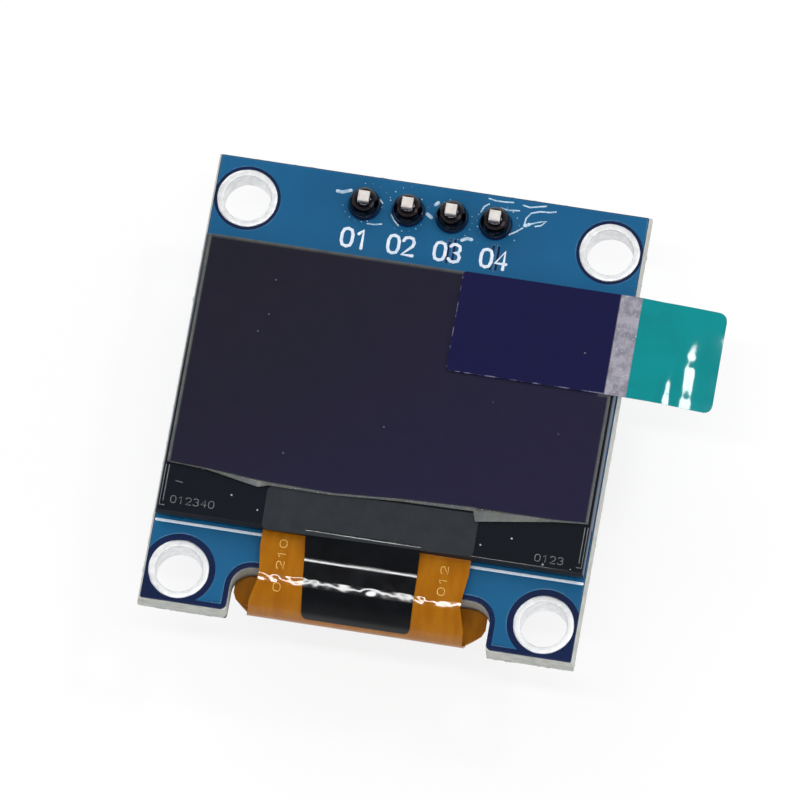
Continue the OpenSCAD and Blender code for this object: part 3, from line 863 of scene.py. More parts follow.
    # Bare copper behind amber polyimide: light gold
    GOLD_MARK = Finish(
        "Copper mark under polyimide", "flex_polyimide", "#e0b25a", "#cf9c42",
        patch_mm=0.4, rough=(0.25, 0.35), grain_mm=0.1, grain_depth_mm=0.001,
    )
    # Lint on the bare ledge: it stands out against the dark glass
    DUST = Finish(
        "Dust", "clear_film", "#b9bec8", "#8f949c",
        patch_mm=0.1, rough=(0.7, 0.9), grain_mm=0.05, grain_depth_mm=0.01,
    )
    # The same lint under the protective film: dimmer
    DIM_DUST = Finish(
        "Dust under film", "clear_film", "#5d5f6e", "#4c4e5b",
        patch_mm=0.1, rough=(0.7, 0.9), grain_mm=0.05, grain_depth_mm=0.01,
    )
    # Unlit organic layers behind the glass
    PIXELS = Finish(
        "Unlit organic layers", "pixel_stack", "#181626", "#1c1a2c",
        patch_mm=2.0, rough=(0.2, 0.3), grain_mm=0.17, grain_depth_mm=0.001,
    )


def wear(piece: bpy.types.Object, finish: Finishes, *nodes: str) -> bpy.types.Object:
    """Dresses a piece, puts it on the body, and hides the solids that it stands for.

    Args:
        piece: The finished piece.
        finish: What it is made of.
        nodes: Solids that the piece replaces.

    Returns:
        The piece.
    """
    piece.data.materials.clear()
    piece.data.materials.append(finish.value.material())
    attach(piece, BODY)
    if nodes:
        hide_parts(*nodes)
    LOG.info("%s: %d faces, %s", piece.name, len(piece.data.polygons), finish.value.name)
    return piece


def dress_node(node: str, finish: Finishes) -> None:
    """Gives a solid that is shown as it is a finish of its own."""
    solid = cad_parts[node]
    solid.data.materials.clear()
    solid.data.materials.append(finish.value.material())
    LOG.info("%s keeps its solid, %s", node, finish.value.name)


# ---- What repeats ----------------------------------------------------------


@dataclass
class Repeater:
    """A node tree that sets one small part on every point of a mesh."""

    name: str

    def tree(self) -> bpy.types.GeometryNodeTree:
        """Returns the tree: points in, dressed and realised parts out."""
        made = bpy.data.node_groups.get(self.name)
        if made:
            return made
        made = bpy.data.node_groups.new(self.name, "GeometryNodeTree")
        face = made.interface
        face.new_socket("Geometry", in_out="OUTPUT", socket_type="NodeSocketGeometry")
        face.new_socket("Points", in_out="INPUT", socket_type="NodeSocketGeometry")
        face.new_socket("Part", in_out="INPUT", socket_type="NodeSocketObject")
        face.new_socket("Finish", in_out="INPUT", socket_type="NodeSocketMaterial")
        face.new_socket("Least Scale", in_out="INPUT", socket_type="NodeSocketFloat")
        face.new_socket("Most Scale", in_out="INPUT", socket_type="NodeSocketFloat")
        face.new_socket("Most Turn", in_out="INPUT", socket_type="NodeSocketFloat")
        face.new_socket("Seed", in_out="INPUT", socket_type="NodeSocketInt")
        given = add_node(made, "NodeGroupInput").outputs
        part = add_node(made, "GeometryNodeObjectInfo", {}, {"Object": given["Part"]})
        scale = add_node(
            made,
            "FunctionNodeRandomValue",
            {"data_type": "FLOAT"},
            {2: given["Least Scale"], 3: given["Most Scale"], "Seed": given["Seed"]},
        )
        turn = add_node(
            made,
            "FunctionNodeRandomValue",
            {"data_type": "FLOAT", 2: 0.0},
            {3: given["Most Turn"], "Seed": given["Seed"]},
        )
        around = add_node(made, "ShaderNodeCombineXYZ", {}, {"Z": turn.outputs[1]})
        set_out = add_node(
            made,
            "GeometryNodeInstanceOnPoints",
            {},
            {
                "Points": given["Points"],
                "Instance": part.outputs["Geometry"],
                "Rotation": around.outputs[0],
                "Scale": scale.outputs[1],
            },
        )
        real = add_node(
            made, "GeometryNodeRealizeInstances", {}, {"Geometry": set_out.outputs[0]}
        )
        dressed = add_node(
            made,
            "GeometryNodeSetMaterial",
            {},
            {"Geometry": real.outputs[0], "Material": given["Finish"]},
        )
        add_node(made, "NodeGroupOutput", {}, {0: dressed.outputs[0]})
        return made

    def spread(
        self,
        name: str,
        part: bpy.types.Object,
        places: Sequence[Point3],
        finish: Finishes,
        scales: Point2 = (1.0, 1.0),
        most_turn: float = 0.0,
        seed: int = 1,
    ) -> bpy.types.Object:
        """Sets a part on each place and makes the result one plain mesh.

        Args:
            name: Name of the piece.
            part: The part to repeat, drawn about the origin. It is removed.
            places: Where the copies stand, in millimetres.
            finish: What they are made of.
            scales: Least and most random scale.
            most_turn: Largest random turn about Z, in radians.
            seed: Seed of what is random.

        Returns:
            The plain mesh object.
        """
        mesh = bpy.data.meshes.new(name + "_points")
        mesh.from_pydata([Vector(p) * MM for p in places], [], [])
        holder = bpy.data.objects.new(name + "_points", mesh)
        bpy.context.scene.collection.objects.link(holder)
        tree = self.tree()
        modifier = holder.modifiers.new(self.name, "NODES")
        modifier.node_group = tree
        values = {
            "Part": part,
            "Finish": finish.value.material(),
            "Least Scale": scales[0],
            "Most Scale": scales[1],
            "Most Turn": most_turn,
            "Seed": seed,
        }
        for item in tree.interface.items_tree:
            if item.item_type == "SOCKET" and item.in_out == "INPUT" and item.name in values:
                modifier[item.identifier] = values[item.name]
        bpy.context.view_layer.update()
        piece = plain_mesh(holder, name, 50)
        bpy.data.objects.remove(part)
        return piece


SPREADER = Repeater("Spread parts on points")


def block_part(size: Point3, low: Point3, bevel: float) -> bpy.types.Object:
    """Makes a small bevelled block to be repeated.

    Args:
        size: Its width, depth and height.
        low: Its lowest corner.
        bevel: Width of the bevel on its edges.

    Returns:
        The block as an object.
    """
    work = bmesh.new()
    bmesh.ops.create_cube(work, size=1.0)
    middle = [low[i] + size[i] / 2 for i in range(3)]
    bmesh.ops.transform(
        work, matrix=Matrix.Translation(middle) @ Matrix.Diagonal((*size, 1)), verts=work.verts
    )
    bmesh.ops.bevel(
        work, geom=list(work.edges), offset=bevel, segments=2, profile=0.5, affect="EDGES"
    )
    mesh = bpy.data.meshes.new("part")
    work.to_mesh(mesh)
    work.free()
    mesh.transform(Matrix.Scale(MM, 4))
    part = bpy.data.objects.new("part", mesh)
    bpy.context.scene.collection.objects.link(part)
    return part


# ---- Sub-assemblies --------------------------------------------------------


@dataclass
class Board:
    """The circuit board: laminate, solder mask on both faces, copper areas and ink."""

    groove_run: float = 0.14
    notch_half: float = 7.5
    notch_top: float = -10.55
    notch_r: float = 1.2
    lip_r: float = 0.35
    holes: tuple[Point2, ...] = ((-10.55, 11.3), (10.55, 11.3), (-10.55, -11.3), (10.55, -11.3))
    pin_y: float = 11.96
    pins: tuple[float, ...] = (-3.81, -1.27, 1.27, 3.81)
    mask_rise: float = 0.02
    copper_rise: float = 0.045
    low: Vector = field(default_factory=lambda: box_mm("circuit_board")[0])
    high: Vector = field(default_factory=lambda: box_mm("circuit_board")[1])

    def outline(self, inset: float = 0.0, under: float = 0.0) -> list[Point2]:
        """Returns the face's outline, drawn in from its edges.

        Args:
            inset: Distance from the sides and the upper edge.
            under: Distance from the lower edge and the notch.
        """
        left = self.low.x + self.groove_run + inset
        right = self.high.x - self.groove_run - inset
        bottom = self.low.y + self.groove_run + under
        top = self.high.y - self.groove_run - inset
        side = self.notch_half + under
        roof = self.notch_top + under
        return rounded(
            [
                (left, bottom, 0.12), (-side, bottom, max(self.lip_r - under, 0.06)),
                (-side, roof, self.notch_r + under), (side, roof, self.notch_r + under),
                (side, bottom, max(self.lip_r - under, 0.06)), (right, bottom, 0.12),
                (right, top, 0.12), (left, top, 0.12),
            ]
        )

    def build(self) -> None:
        """Makes and dresses every piece of the board."""
        dress_node("circuit_board", Finishes.LAMINATE)
        front, back = self.high.z, self.low.z
        holes = [circle(x, y, 1.5) for x, y in self.holes]
        for name, z in (("mask_front", front + self.mask_rise), ("mask_back", -self.mask_rise)):
            mask = soft_plate(name, [self.outline(), *holes], z, self.mask_rise, 0.05)
            wear(mask, Finishes.MASK_ON_LAMINATE)
        self.front_copper(front + self.mask_rise)
        self.back_copper(back - self.mask_rise)
        self.edges()
        self.ink(front)
        self.flux(front + self.copper_rise)

    def pour_outline(self) -> list[Point2]:
        """Returns the outline of a copper area, clear of the mounting holes."""
        outline = self.outline(0.04, 0.3)
        for x, y in self.holes:
            outline = bitten(outline, (x, y), 1.92 if y > 0 else 2.1)
        return outline

    def front_copper(self, z: float) -> None:
        """Makes the raised copper area on the front, under its mask.

        Args:
            z: Height of the mask that it stands on.
        """
        openings = [circle(x, self.pin_y, 0.95, 36) for x in self.pins]
        for x in self.pins[2:]:
            left, right = x + 0.05, x + 0.5
            openings.append(
                rounded(
                    [(left, 9.2, 0.1), (right, 9.2, 0.1), (right, 10.7, 0.1), (left, 10.7, 0.1)]
                )
            )
        area = soft_plate(
            "copper_front", [self.pour_outline(), *openings], z + self.copper_rise - 0.02,
            self.copper_rise - 0.02, 0.1,
        )
        wear(area, Finishes.MASK_ON_COPPER)
        tracks = [[(x + 0.27, 10.9), (x + 0.27, 9.0)] for x in self.pins[2:]]
        lines = ink_strokes("tracks_front", tracks, 0.2, z, 0.03)
        wear(lines, Finishes.MASK_ON_COPPER)

    def back_copper(self, z: float) -> None:
        """Makes the copper area, tracks and vias on the back.

        Args:
            z: Height of the mask that they stand on.
        """
        windows = [
            rounded([(x0, y0, 0.3), (x1, y0, 0.3), (x1, y1, 0.3), (x0, y1, 0.3)])
            for x0, y0, x1, y1 in (
                (-9.9, -8.9, 9.7, 2.2), (1.6, 4.3, 11.2, 7.9), (-5.2, 10.6, 5.2, 13.3)
            )
        ]
        area = soft_plate(
            "copper_back", [self.pour_outline(), *windows], z - self.copper_rise + 0.02,
            self.copper_rise - 0.02, 0.1,
        )
        wear(area, Finishes.MASK_ON_COPPER)
        tracks: list[list[Point2]] = []
        for i in range(14):
            x = -9.11 + 0.62 * (2 * i + 1)
            top = -5.9 if i % 3 else -2.4
            tracks.append([(x, -6.9), (x, -6.3), (x + 0.15 * (i - 7) / 3, top)])
        for i, x in enumerate((-7.5, -5.0, -2.5, 0.0, 2.5, 5.0, 7.5)):
            tracks.append([(x, 0.8), (x, 1.5 + 0.12 * i), (x * 0.6, 2.6 + 0.12 * i)])
            tracks.append([(x, -1.2), (x + 0.3, -1.9), (x + 0.3, -2.9)])
        for i, x in enumerate(self.pins):
            tracks.append([(x, 10.9), (x, 9.6 - 0.5 * i), (x + 1.4, 8.4 - 0.5 * i)])
        wear(ink_strokes("tracks_back", tracks, 0.2, z, 0.03), Finishes.MASK_ON_COPPER)
        spots = [(-8.4 + 2.1 * i, 3.1 + 0.5 * (i % 3), z - 0.012) for i in range(5)]
        spots += [(-10.6 + 1.9 * (i % 2), -3.0 + 1.3 * i, z - 0.012) for i in range(4)]
        spots += [(3.0 * math.cos(i) - 6.5, 7.6 + 1.6 * math.sin(2.3 * i), z - 0.012) for i in range(6)]
        via = lathe("via", [(0.16, 0.012), (0.2, -0.006), (0.27, -0.006), (0.3, 0.012)], (0, 0), 20)
        wear(SPREADER.spread("vias_back", via, spots, Finishes.TIN), Finishes.TIN)

    def edges(self) -> None:
        """Makes the torn ridges left where the board was snapped along its grooves."""
        left, right = self.low.x, self.high.x
        bottom, top = self.low.y, self.high.y
        run = self.groove_run
        lip = self.notch_half + self.lip_r
        sides = (
            ("ridge_left", (left + run, top - run), (left + run, bottom + run)),
            ("ridge_lower_left", (left + run, bottom + run), (-lip, bottom + run)),
            ("ridge_lower_right", (lip, bottom + run), (right - run, bottom + run)),
            ("ridge_right", (right - run, bottom + run), (right - run, top - run)),
            ("ridge_upper", (right - run, top - run), (left + run, top - run)),
        )
        for name, start, end in sides:
            wear(self.ridge(name, Vector(start), Vector(end)), Finishes.LAMINATE)

    def ridge(self, name: str, start: Vector, end: Vector) -> bpy.types.Object:
        """Makes one torn ridge.

        Args:
            name: Name of the piece.
            start: Where the ridge starts, at the groove's foot.
            end: Where it ends; the board lies on its left.

        Returns:
            A closed strip whose outer face is torn.
        """
        along = (end - start).normalized()
        out = Vector((along.y, -along.x))
        length = (end - start).length
        steps = int(length / 0.09)
        section = [
            (-0.12, 1.585), (0.0, 1.6), (0.05, 1.44), (0.11, 1.22), (0.145, 1.05), (0.15, 0.85),
            (0.15, 0.65), (0.14, 0.48), (0.1, 0.3), (0.04, 0.12), (0.0, 0.0), (-0.12, 0.015),
        ]
        verts: list[Point3] = []
        for i in range(steps + 1):
            t = i / steps
            base = start + along * length * t
            ease = min(1.0, 6 * min(t, 1 - t) * length / 1.0)
            for run, z in section:
                rough = 0.0
                if run > 0.02:
                    spot = Vector((base.x * 2.6, base.y * 2.6, z * 3.0 + 7.0))
                    rough = 0.075 * noise.fractal(spot, 0.8, 2.2, 4) - 0.02
                reach = run * (0.4 + 0.6 * ease) + rough * ease
                place = base + out * min(reach, 0.2)
                verts.append((place.x, place.y, z))
        count = len(section)
        faces: list[tuple[int, ...]] = []
        for i in range(steps):
            for j in range(count):
                a, b, k = i * count, (i + 1) * count, (j + 1) % count
                faces.append((a + j, b + j, b + k, a + k))
        faces.append(tuple(range(count)))
        faces.append(tuple(steps * count + j for j in range(count)))
        return piece_from(name, verts, faces, 60)

    def ink(self, z: float) -> None:
        """Prints the white line under the panel, the pins' numbers and the back's frames.

        Args:
            z: Height of the board's front face.
        """
        line = [[(self.low.x + 0.28, -8.56), (self.high.x - 0.28, -8.56)]]
        wear(
            ink_strokes("ink_line", line, 0.17, z + self.copper_rise, 0.02), Finishes.INK
        )
        strokes: list[list[Point2]] = []
        for number, x in zip(("01", "02", "03", "04"), (-4.05, -1.35, 1.35, 4.05)):
            strokes += Digits(0.62, 1.08, 0.24).word(number, x, 9.33)
        wear(
            ink_strokes("ink_numbers", strokes, 0.19, z + self.copper_rise, 0.02), Finishes.INK
        )
        frames: list[list[Point2]] = []
        for i in range(8):
            low, high = box_mm(f"capacitor_{i + 1}")
            frames += self.frame_round(low, high)
        for i in range(7):
            low, high = box_mm(f"resistor_{i + 1}")
            frames += self.frame_round(low, high)
        for i, x in enumerate(self.pins):
            frames += Digits(0.5, 0.85, 0.2, mirrored=True).word(str(i + 1), x, 8.95)
        ink = ink_strokes("ink_back", frames, 0.13, -self.copper_rise, -0.015)
        wear(ink, Finishes.INK)

    def frame_round(self, low: Vector, high: Vector) -> list[list[Point2]]:
        """Returns two bars of ink beside a chip, clear of its solder."""
        left, right = low.x - 0.26, high.x + 0.26
        return [[(left, low.y), (left, high.y)], [(right, low.y), (right, high.y)]]

    def flux(self, z: float) -> None:
        """Leaves dried flux round the pins, pale as a painted highlight: streaks by the last pin, specks
        elsewhere.

        Args:
            z: Height of the mask that carries it.
        """
        streaks: list[list[Point2]] = [
            [(3.18, 13.45), (3.57, 13.38), (4.09, 13.38), (4.6, 13.43)],
            [(5.2, 13.35), (5.59, 13.28), (6.08, 13.4), (6.5, 13.5)],
            [(7.1, 13.25), (6.79, 13.16), (6.21, 13.12), (5.72, 12.95), (5.48, 12.6), (5.42, 12.1)],
            [(5.45, 12.16), (5.83, 12.31), (6.18, 12.46), (6.67, 12.6), (6.4, 12.3), (6.07, 12.19)],
            [(2.86, 12.59), (2.98, 12.92), (3.24, 13.12)],
            [(3.94, 12.98), (4.39, 12.92), (5.02, 12.99)],
            [(4.68, 11.47), (5.04, 11.71), (5.37, 11.98)],
            [(-3.47, 10.86), (-3.03, 10.87), (-2.67, 10.96)],
            [(-2.2, 11.6), (-2.0, 11.3), (-1.7, 11.02)],
            [(-3.0, 12.4), (-2.82, 12.22)],
        ]
        # the flux's pale colour is a painted highlight
        wear(ink_strokes("flux_streaks", streaks, 0.09, z, 0.02), Finishes.FLUX_PAINTED_HIGHLIGHT)
        blobs: list[list[Point2]] = [
            [(-5.5, 12.54), (-5.2, 12.52), (-4.75, 12.7)],
            [(-0.16, 11.96), (0.1, 11.8)],
            [(0.21, 12.59), (0.34, 12.74)],
            [(2.05, 10.72), (2.32, 10.86), (2.6, 10.84)],
            [(5.5, 12.15), (5.7, 12.25)],
        ]
        wear(ink_strokes("flux_blobs", blobs, 0.2, z, 0.03), Finishes.FLUX_PAINTED_HIGHLIGHT)
        crumb = block_part((0.07, 0.05, 0.03), (-0.035, -0.025, -0.01), 0.012)
        spots: list[Point3] = []
        for i in range(46):
            pin = self.pins[(i * 7) % 4]
            turn = 2.399 * i
            far = 1.0 + 0.55 * ((i * 37) % 11) / 11
            spots.append((pin + far * math.cos(turn), self.pin_y + far * math.sin(turn), z))
        wear(
            SPREADER.spread("flux_specks", crumb, spots, Finishes.FLUX_PAINTED_HIGHLIGHT, (0.4, 1.3), 3.1, 5),
            Finishes.FLUX_PAINTED_HIGHLIGHT,
        )


@dataclass
class Digits:
    """Plain numbers, drawn with single strokes."""

    width: float
    height: float
    gap: float
    mirrored: bool = False
    turned: bool = False
    shapes: dict[str, list[list[Point2]]] = field(
        default_factory=lambda: {
            "0": [[(0.5, 1), (0.15, 0.93), (0, 0.7), (0, 0.3), (0.15, 0.07), (0.5, 0),
                   (0.85, 0.07), (1, 0.3), (1, 0.7), (0.85, 0.93), (0.5, 1)]],
            "1": [[(0.15, 0.78), (0.55, 1), (0.55, 0)]],
            "2": [[(0, 0.78), (0.15, 0.95), (0.5, 1), (0.85, 0.95), (1, 0.74), (0.9, 0.52),
                   (0, 0), (1, 0)]],
            "3": [[(0.05, 0.86), (0.25, 0.98), (0.55, 1), (0.9, 0.9), (0.95, 0.7), (0.8, 0.55),
                   (0.45, 0.52), (0.85, 0.47), (1, 0.3), (0.9, 0.08), (0.5, 0), (0.2, 0.03),
                   (0, 0.15)]],
            "4": [[(0.78, 0), (0.78, 1), (0, 0.3), (1, 0.3)]],
        }
    )

    def word(self, text: str, x: float, y: float) -> list[list[Point2]]:
        """Returns the strokes of a number.

        Args:
            text: The digits to draw.
            x: Middle of the number.
            y: Its foot.
        """
        full = len(text) * self.width + (len(text) - 1) * self.gap
        way = -1 if self.mirrored else 1
        strokes = []
        for i, digit in enumerate(text):
            left = -full / 2 + i * (self.width + self.gap)
            for shape in self.shapes.get(digit, []):
                local = [(way * (left + u * self.width), v * self.height) for u, v in shape]
                if self.turned:
                    local = [(-v, u) for u, v in local]
                strokes.append([(x + u, y + v) for u, v in local])
        return strokes


@dataclass
class MountingRings:
    """The tinned linings of the mounting holes, thick and uneven from the melt."""

    inner: float = 1.35
    outer: float = 1.75
    rise: float = 0.05
    board: float = 1.6
    steps: int = 96

    def profile(self) -> list[Point2]:
        """Returns the lining's section, with rounded shoulders."""
        out, top = self.outer, self.board
        shoulder = [(1.0, 0.0), (0.95, 0.45), (0.82, 0.8), (0.6, 0.95)]
        inner = [(0.08, 0.9), (0.02, 0.55)]
        span = out - self.inner
        upper = [(self.inner + span * s, top + self.rise * 1.3 * h) for s, h in shoulder]
        upper += [(self.inner + span * s, top + self.rise * 1.3 * h) for s, h in [(0.3, 1.0), (0.16, 0.98)]]
        upper += [(self.inner + span * s, top + self.rise * 1.3 * h) for s, h in inner]
        lower = [(r, self.board - z) for r, z in reversed(upper)]
        return upper + [(self.inner, top - 0.05), (self.inner, 0.8), (self.inner, 0.05)] + lower + [
            (1.52, 0.01), (1.52, top - 0.01)
        ]

    def build(self) -> None:
        """Makes and dresses the four linings."""
        for i in range(4):
            low, high = box_mm(f"mounting_ring_{i + 1}")
            centre = ((low.x + high.x) / 2, (low.y + high.y) / 2)

            def shift(turn: float, height: float, seed: int = i) -> Point2:
                """Returns the melt's unevenness at a turn and height."""
                spot = Vector((2.2 * math.cos(turn), 2.2 * math.sin(turn), height * 1.3 + 9 * seed))
                wave = noise.noise(spot) + 0.5 * noise.noise(spot * 2.3)
                out = 1.0 if height > 1.5 or height < 0.1 else 0.4
                return (0.022 * wave * out, 0.012 * noise.noise(spot * 1.7) * out)

            ring = lathe(f"ring_{i + 1}", self.profile(), centre, self.steps, shift)
            wear(ring, Finishes.TIN, f"mounting_ring_{i + 1}")


@dataclass
class Header:
    """The pin header: body, pins and the solder balls round them."""

    ball_r: float = 0.62
    core_r: float = 0.27
    hole_r: float = 0.51
    board: float = 1.6
    height: float = 1.27

    def build(self) -> None:
        """Makes the solder balls and dresses the body and pins."""
        dress_node("header_body", Finishes.HEADER_PLASTIC)
        for i in range(4):
            dress_node(f"header_pin_{i + 1}", Finishes.PIN)
            low, high = box_mm(f"pin_joint_{i + 1}")
            centre = ((low.x + high.x) / 2, (low.y + high.y) / 2)
            top = self.board + self.height
            middle = self.board + 0.42
            outer = []
            for k in range(19):
                turn = math.radians(-28 + 118 * k / 18)
                outer.append(
                    (
                        self.core_r + self.ball_r * math.cos(turn),
                        middle + (top - middle) * math.sin(turn),
                    )
                )
            profile = [(0.24, 0.02), (self.hole_r, 0.02), (self.hole_r, self.board - 0.05)]
            profile += [(0.8, self.board + 0.005), *outer, (0.24, top - 0.3)]

            def shift(turn: float, height: float, seed: int = i) -> Point2:
                """Returns the ball's slight unevenness."""
                spot = Vector((1.4 * math.cos(turn), 1.4 * math.sin(turn), height + 5 * seed))
                return (0.03 * noise.noise(spot), 0.0)

            ball = lathe(f"solder_ball_{i + 1}", profile, centre, 56, shift)
            # the balls' dark colour is a painted reflection of dark surroundings
            wear(ball, Finishes.SOLDER_PAINTED_DARK, f"pin_joint_{i + 1}")


@dataclass
class Panel:
    """The display panel: glass, polariser, protective film, tape and fine lines."""

    # How far below the polariser's straight edge the picture area and the film end
    display_edge: tuple[Point2, ...] = (
        (-12.2, 0.08), (-9.7, 0.2), (-6.4, 0.45), (-2.6, 0.53), (1.3, 0.26), (5.6, 0.1),
        (10.2, 0.12), (12.2, 0.0),
    )
    film_edge: tuple[Point2, ...] = (
        (-12.2, 0.12), (-9.8, 0.26), (-6.8, 0.82), (-6.25, 0.64), (-2.6, 0.64), (1.3, 0.4),
        (5.6, 0.32), (5.75, 0.92), (10.2, 0.24), (12.2, 0.06),
    )

    def build(self) -> None:
        """Makes and dresses the panel's pieces."""
        self.glass()
        dress_node("rear_glass", Finishes.GLASS)
        dress_node("glass_seal", Finishes.SEAL)
        dress_node("pixel_layer", Finishes.PIXELS)
        dress_node("panel_adhesive", Finishes.FOAM)
        dress_node("driver_chip", Finishes.SILICON)
        dress_node("ledge_tape", Finishes.TAPE)
        self.polariser()
        self.film()
        self.marks()
        self.dust()

    def glass(self) -> None:
        """Makes the front glass, its edges ground to a bevel."""
        low, high = box_mm("front_glass")
        work = bmesh.new()
        bmesh.ops.create_cube(work, size=1.0)
        size = high - low
        bmesh.ops.transform(
            work,
            matrix=Matrix.Translation((low + high) / 2) @ Matrix.Diagonal((*size, 1)),
            verts=work.verts,
        )
        upper = [e for e in work.edges if all(v.co.z > high.z - 0.01 for v in e.verts)]
        bmesh.ops.bevel(work, geom=upper, offset=0.15, segments=3, profile=0.5, affect="EDGES")
        mesh = bpy.data.meshes.new("front_glass_cut")
        work.to_mesh(mesh)
        work.free()
        mesh.transform(Matrix.Scale(MM, 4))
        finish_mesh(mesh, 30)
        piece = bpy.data.objects.new("front_glass_cut", mesh)
        bpy.context.scene.collection.objects.link(piece)
        wear(piece, Finishes.GLASS, "front_glass")

    def polariser(self) -> None:
        """Makes the polariser, whose lower edge bows where the film pulls on it."""
        low, high = box_mm("polariser")
        rows: list[list[Point3]] = []
        for i in range(9):
            row = []
            for j in range(97):
                x = low.x + (high.x - low.x) * j / 96
                foot = low.y - along_knots(self.display_edge, x)
                row.append((x, high.y + (foot - high.y) * i / 8, (low.z + high.z) / 2))
            rows.append(row)
        ups = [[Vector((0, 0, 1))] * 97] * 9
        piece = sheet_mesh("polariser_sheet", rows, ups, high.z - low.z)
        wear(piece, Finishes.POLARISER, "polariser")

    def film(self) -> None:
        """Makes the protective film: a painted highlight at its rim, a painted reflection where it lifts,
        and lighter in two wedges.
        """
        low, high = box_mm("protective_film")
        middle = (low.z + high.z) / 2
        across = [low.x + (high.x - low.x) * j / 240 for j in range(241)]
        rows: list[list[Point3]] = []
        ups: list[list[Vector]] = []
        haze: list[list[float]] = []
        for i in range(71):
            row: list[Point3] = []
            lift: list[Vector] = []
            painted_sheen: list[float] = []
            for x in across:
                edge = low.y - along_knots(self.display_edge, x)
                lip = low.y - along_knots(self.film_edge, x)
                if i <= 64:
                    y, z, normal = high.y + (edge - high.y) * i / 64, middle, Vector((0, 0, 1))
                    painted_sheen.append(self.painted_sheen(x, y, high))
                else:
                    t = (i - 64) / 6
                    y, z = edge + (lip - edge) * t, middle - 0.1 * t
                    normal = Vector((0, -0.25, 1)).normalized()
                    # painted reflection where the film lifts
                    painted_sheen.append(0.75 if i > 65 else 0.4)
                row.append((x, y, z))
                lift.append(normal)
            rows.append(row)
            ups.append(lift)
            haze.append(painted_sheen)
        piece = sheet_mesh("protective_film_sheet", rows, ups, 0.05, haze)
        wear(piece, Finishes.FILM, "protective_film")

    def painted_sheen(self, x: float, y: float, high: Vector) -> float:
        """Returns how grey the flat part of the film is painted: a painted highlight at its rim, lighter in
        two wedges.

        Args:
            x: Place across the panel.
            y: Place up the panel.
            high: The film's upper right corner.
        """
        # painted highlight along the sides and the top edge
        side = min(1.0, max(0.0, (abs(x) - high.x + 0.2) / 0.1)) * 0.5
        top = min(1.0, max(0.0, (y - high.y + 0.2) / 0.12)) * 0.42
        wedge = 0.0
        if 8.9 < x < 11.7 and y > 7.6:
            span = 0.62 * min((x - 8.9) / 2.0, (11.7 - x) / 0.8, 1.0)
            wedge = 0.42 * min(1.0, max(0.0, (y - high.y + span) / 0.3))
        if y < 6.4 and y > 2.2:
            reach = 0.5 * min(1.0, max(0.0, (6.4 - y) / 2.5))
            wedge = max(wedge, 0.4 * min(1.0, max(0.0, (x - 11.85 + reach) / 0.2)))
        return max(side, top, wedge)

    def marks(self) -> None:
        """Draws the thin metal guard lines near the ledge's sides, and plain numbers."""
        z = box_mm("front_glass")[1].z
        loops = []
        for side in (-1, 1):
            outer, inner = side * 12.2, side * 12.02
            loops.append([(outer, -5.6), (outer, -8.02), (inner - side * 0.1, -8.02)])
            loops.append([(inner, -5.6), (inner, -7.75)])
        wear(ink_strokes("guard_lines", loops, 0.05, z, 0.006), Finishes.MARK)
        strokes = Digits(0.3, 0.42, 0.14).word("0123", 10.3, -8.0)
        strokes += Digits(0.3, 0.42, 0.14).word("012340", -10.35, -7.82)
        strokes.append([(-11.5, -6.5), (-11.1, -6.54)])
        wear(ink_strokes("ledge_numbers", strokes, 0.045, z, 0.004), Finishes.MARK)

    def dust(self) -> None:
        """Scatters a few specks of dust on the film and the ledge."""
        film = box_mm("protective_film")[1].z
        ledge = box_mm("front_glass")[1].z
        dim = [
            (-7.9, 6.2, film), (-7.95, 4.1, film), (-5.7, -4.0, film), (-0.3, -1.55, film),
            (-8.4, 3.0, film), (5.6, 0.9, film), (9.6, -0.4, film), (10.3, 4.6, film + 0.07),
        ]
        bright = [
            (-8.2, -6.85, ledge), (-6.6, -7.5, ledge), (6.3, -7.55, ledge), (8.0, -6.9, ledge),
            (10.0, -8.15, ledge), (11.6, -8.2, ledge),
        ]
        for name, spots, finish in (
            ("dust_film", dim, Finishes.DIM_DUST), ("dust_ledge", bright, Finishes.DUST)
        ):
            speck = block_part((0.09, 0.08, 0.03), (-0.045, -0.04, -0.005), 0.012)
            wear(SPREADER.spread(name, speck, spots, finish, (0.6, 1.3), 3.1, 3), finish)


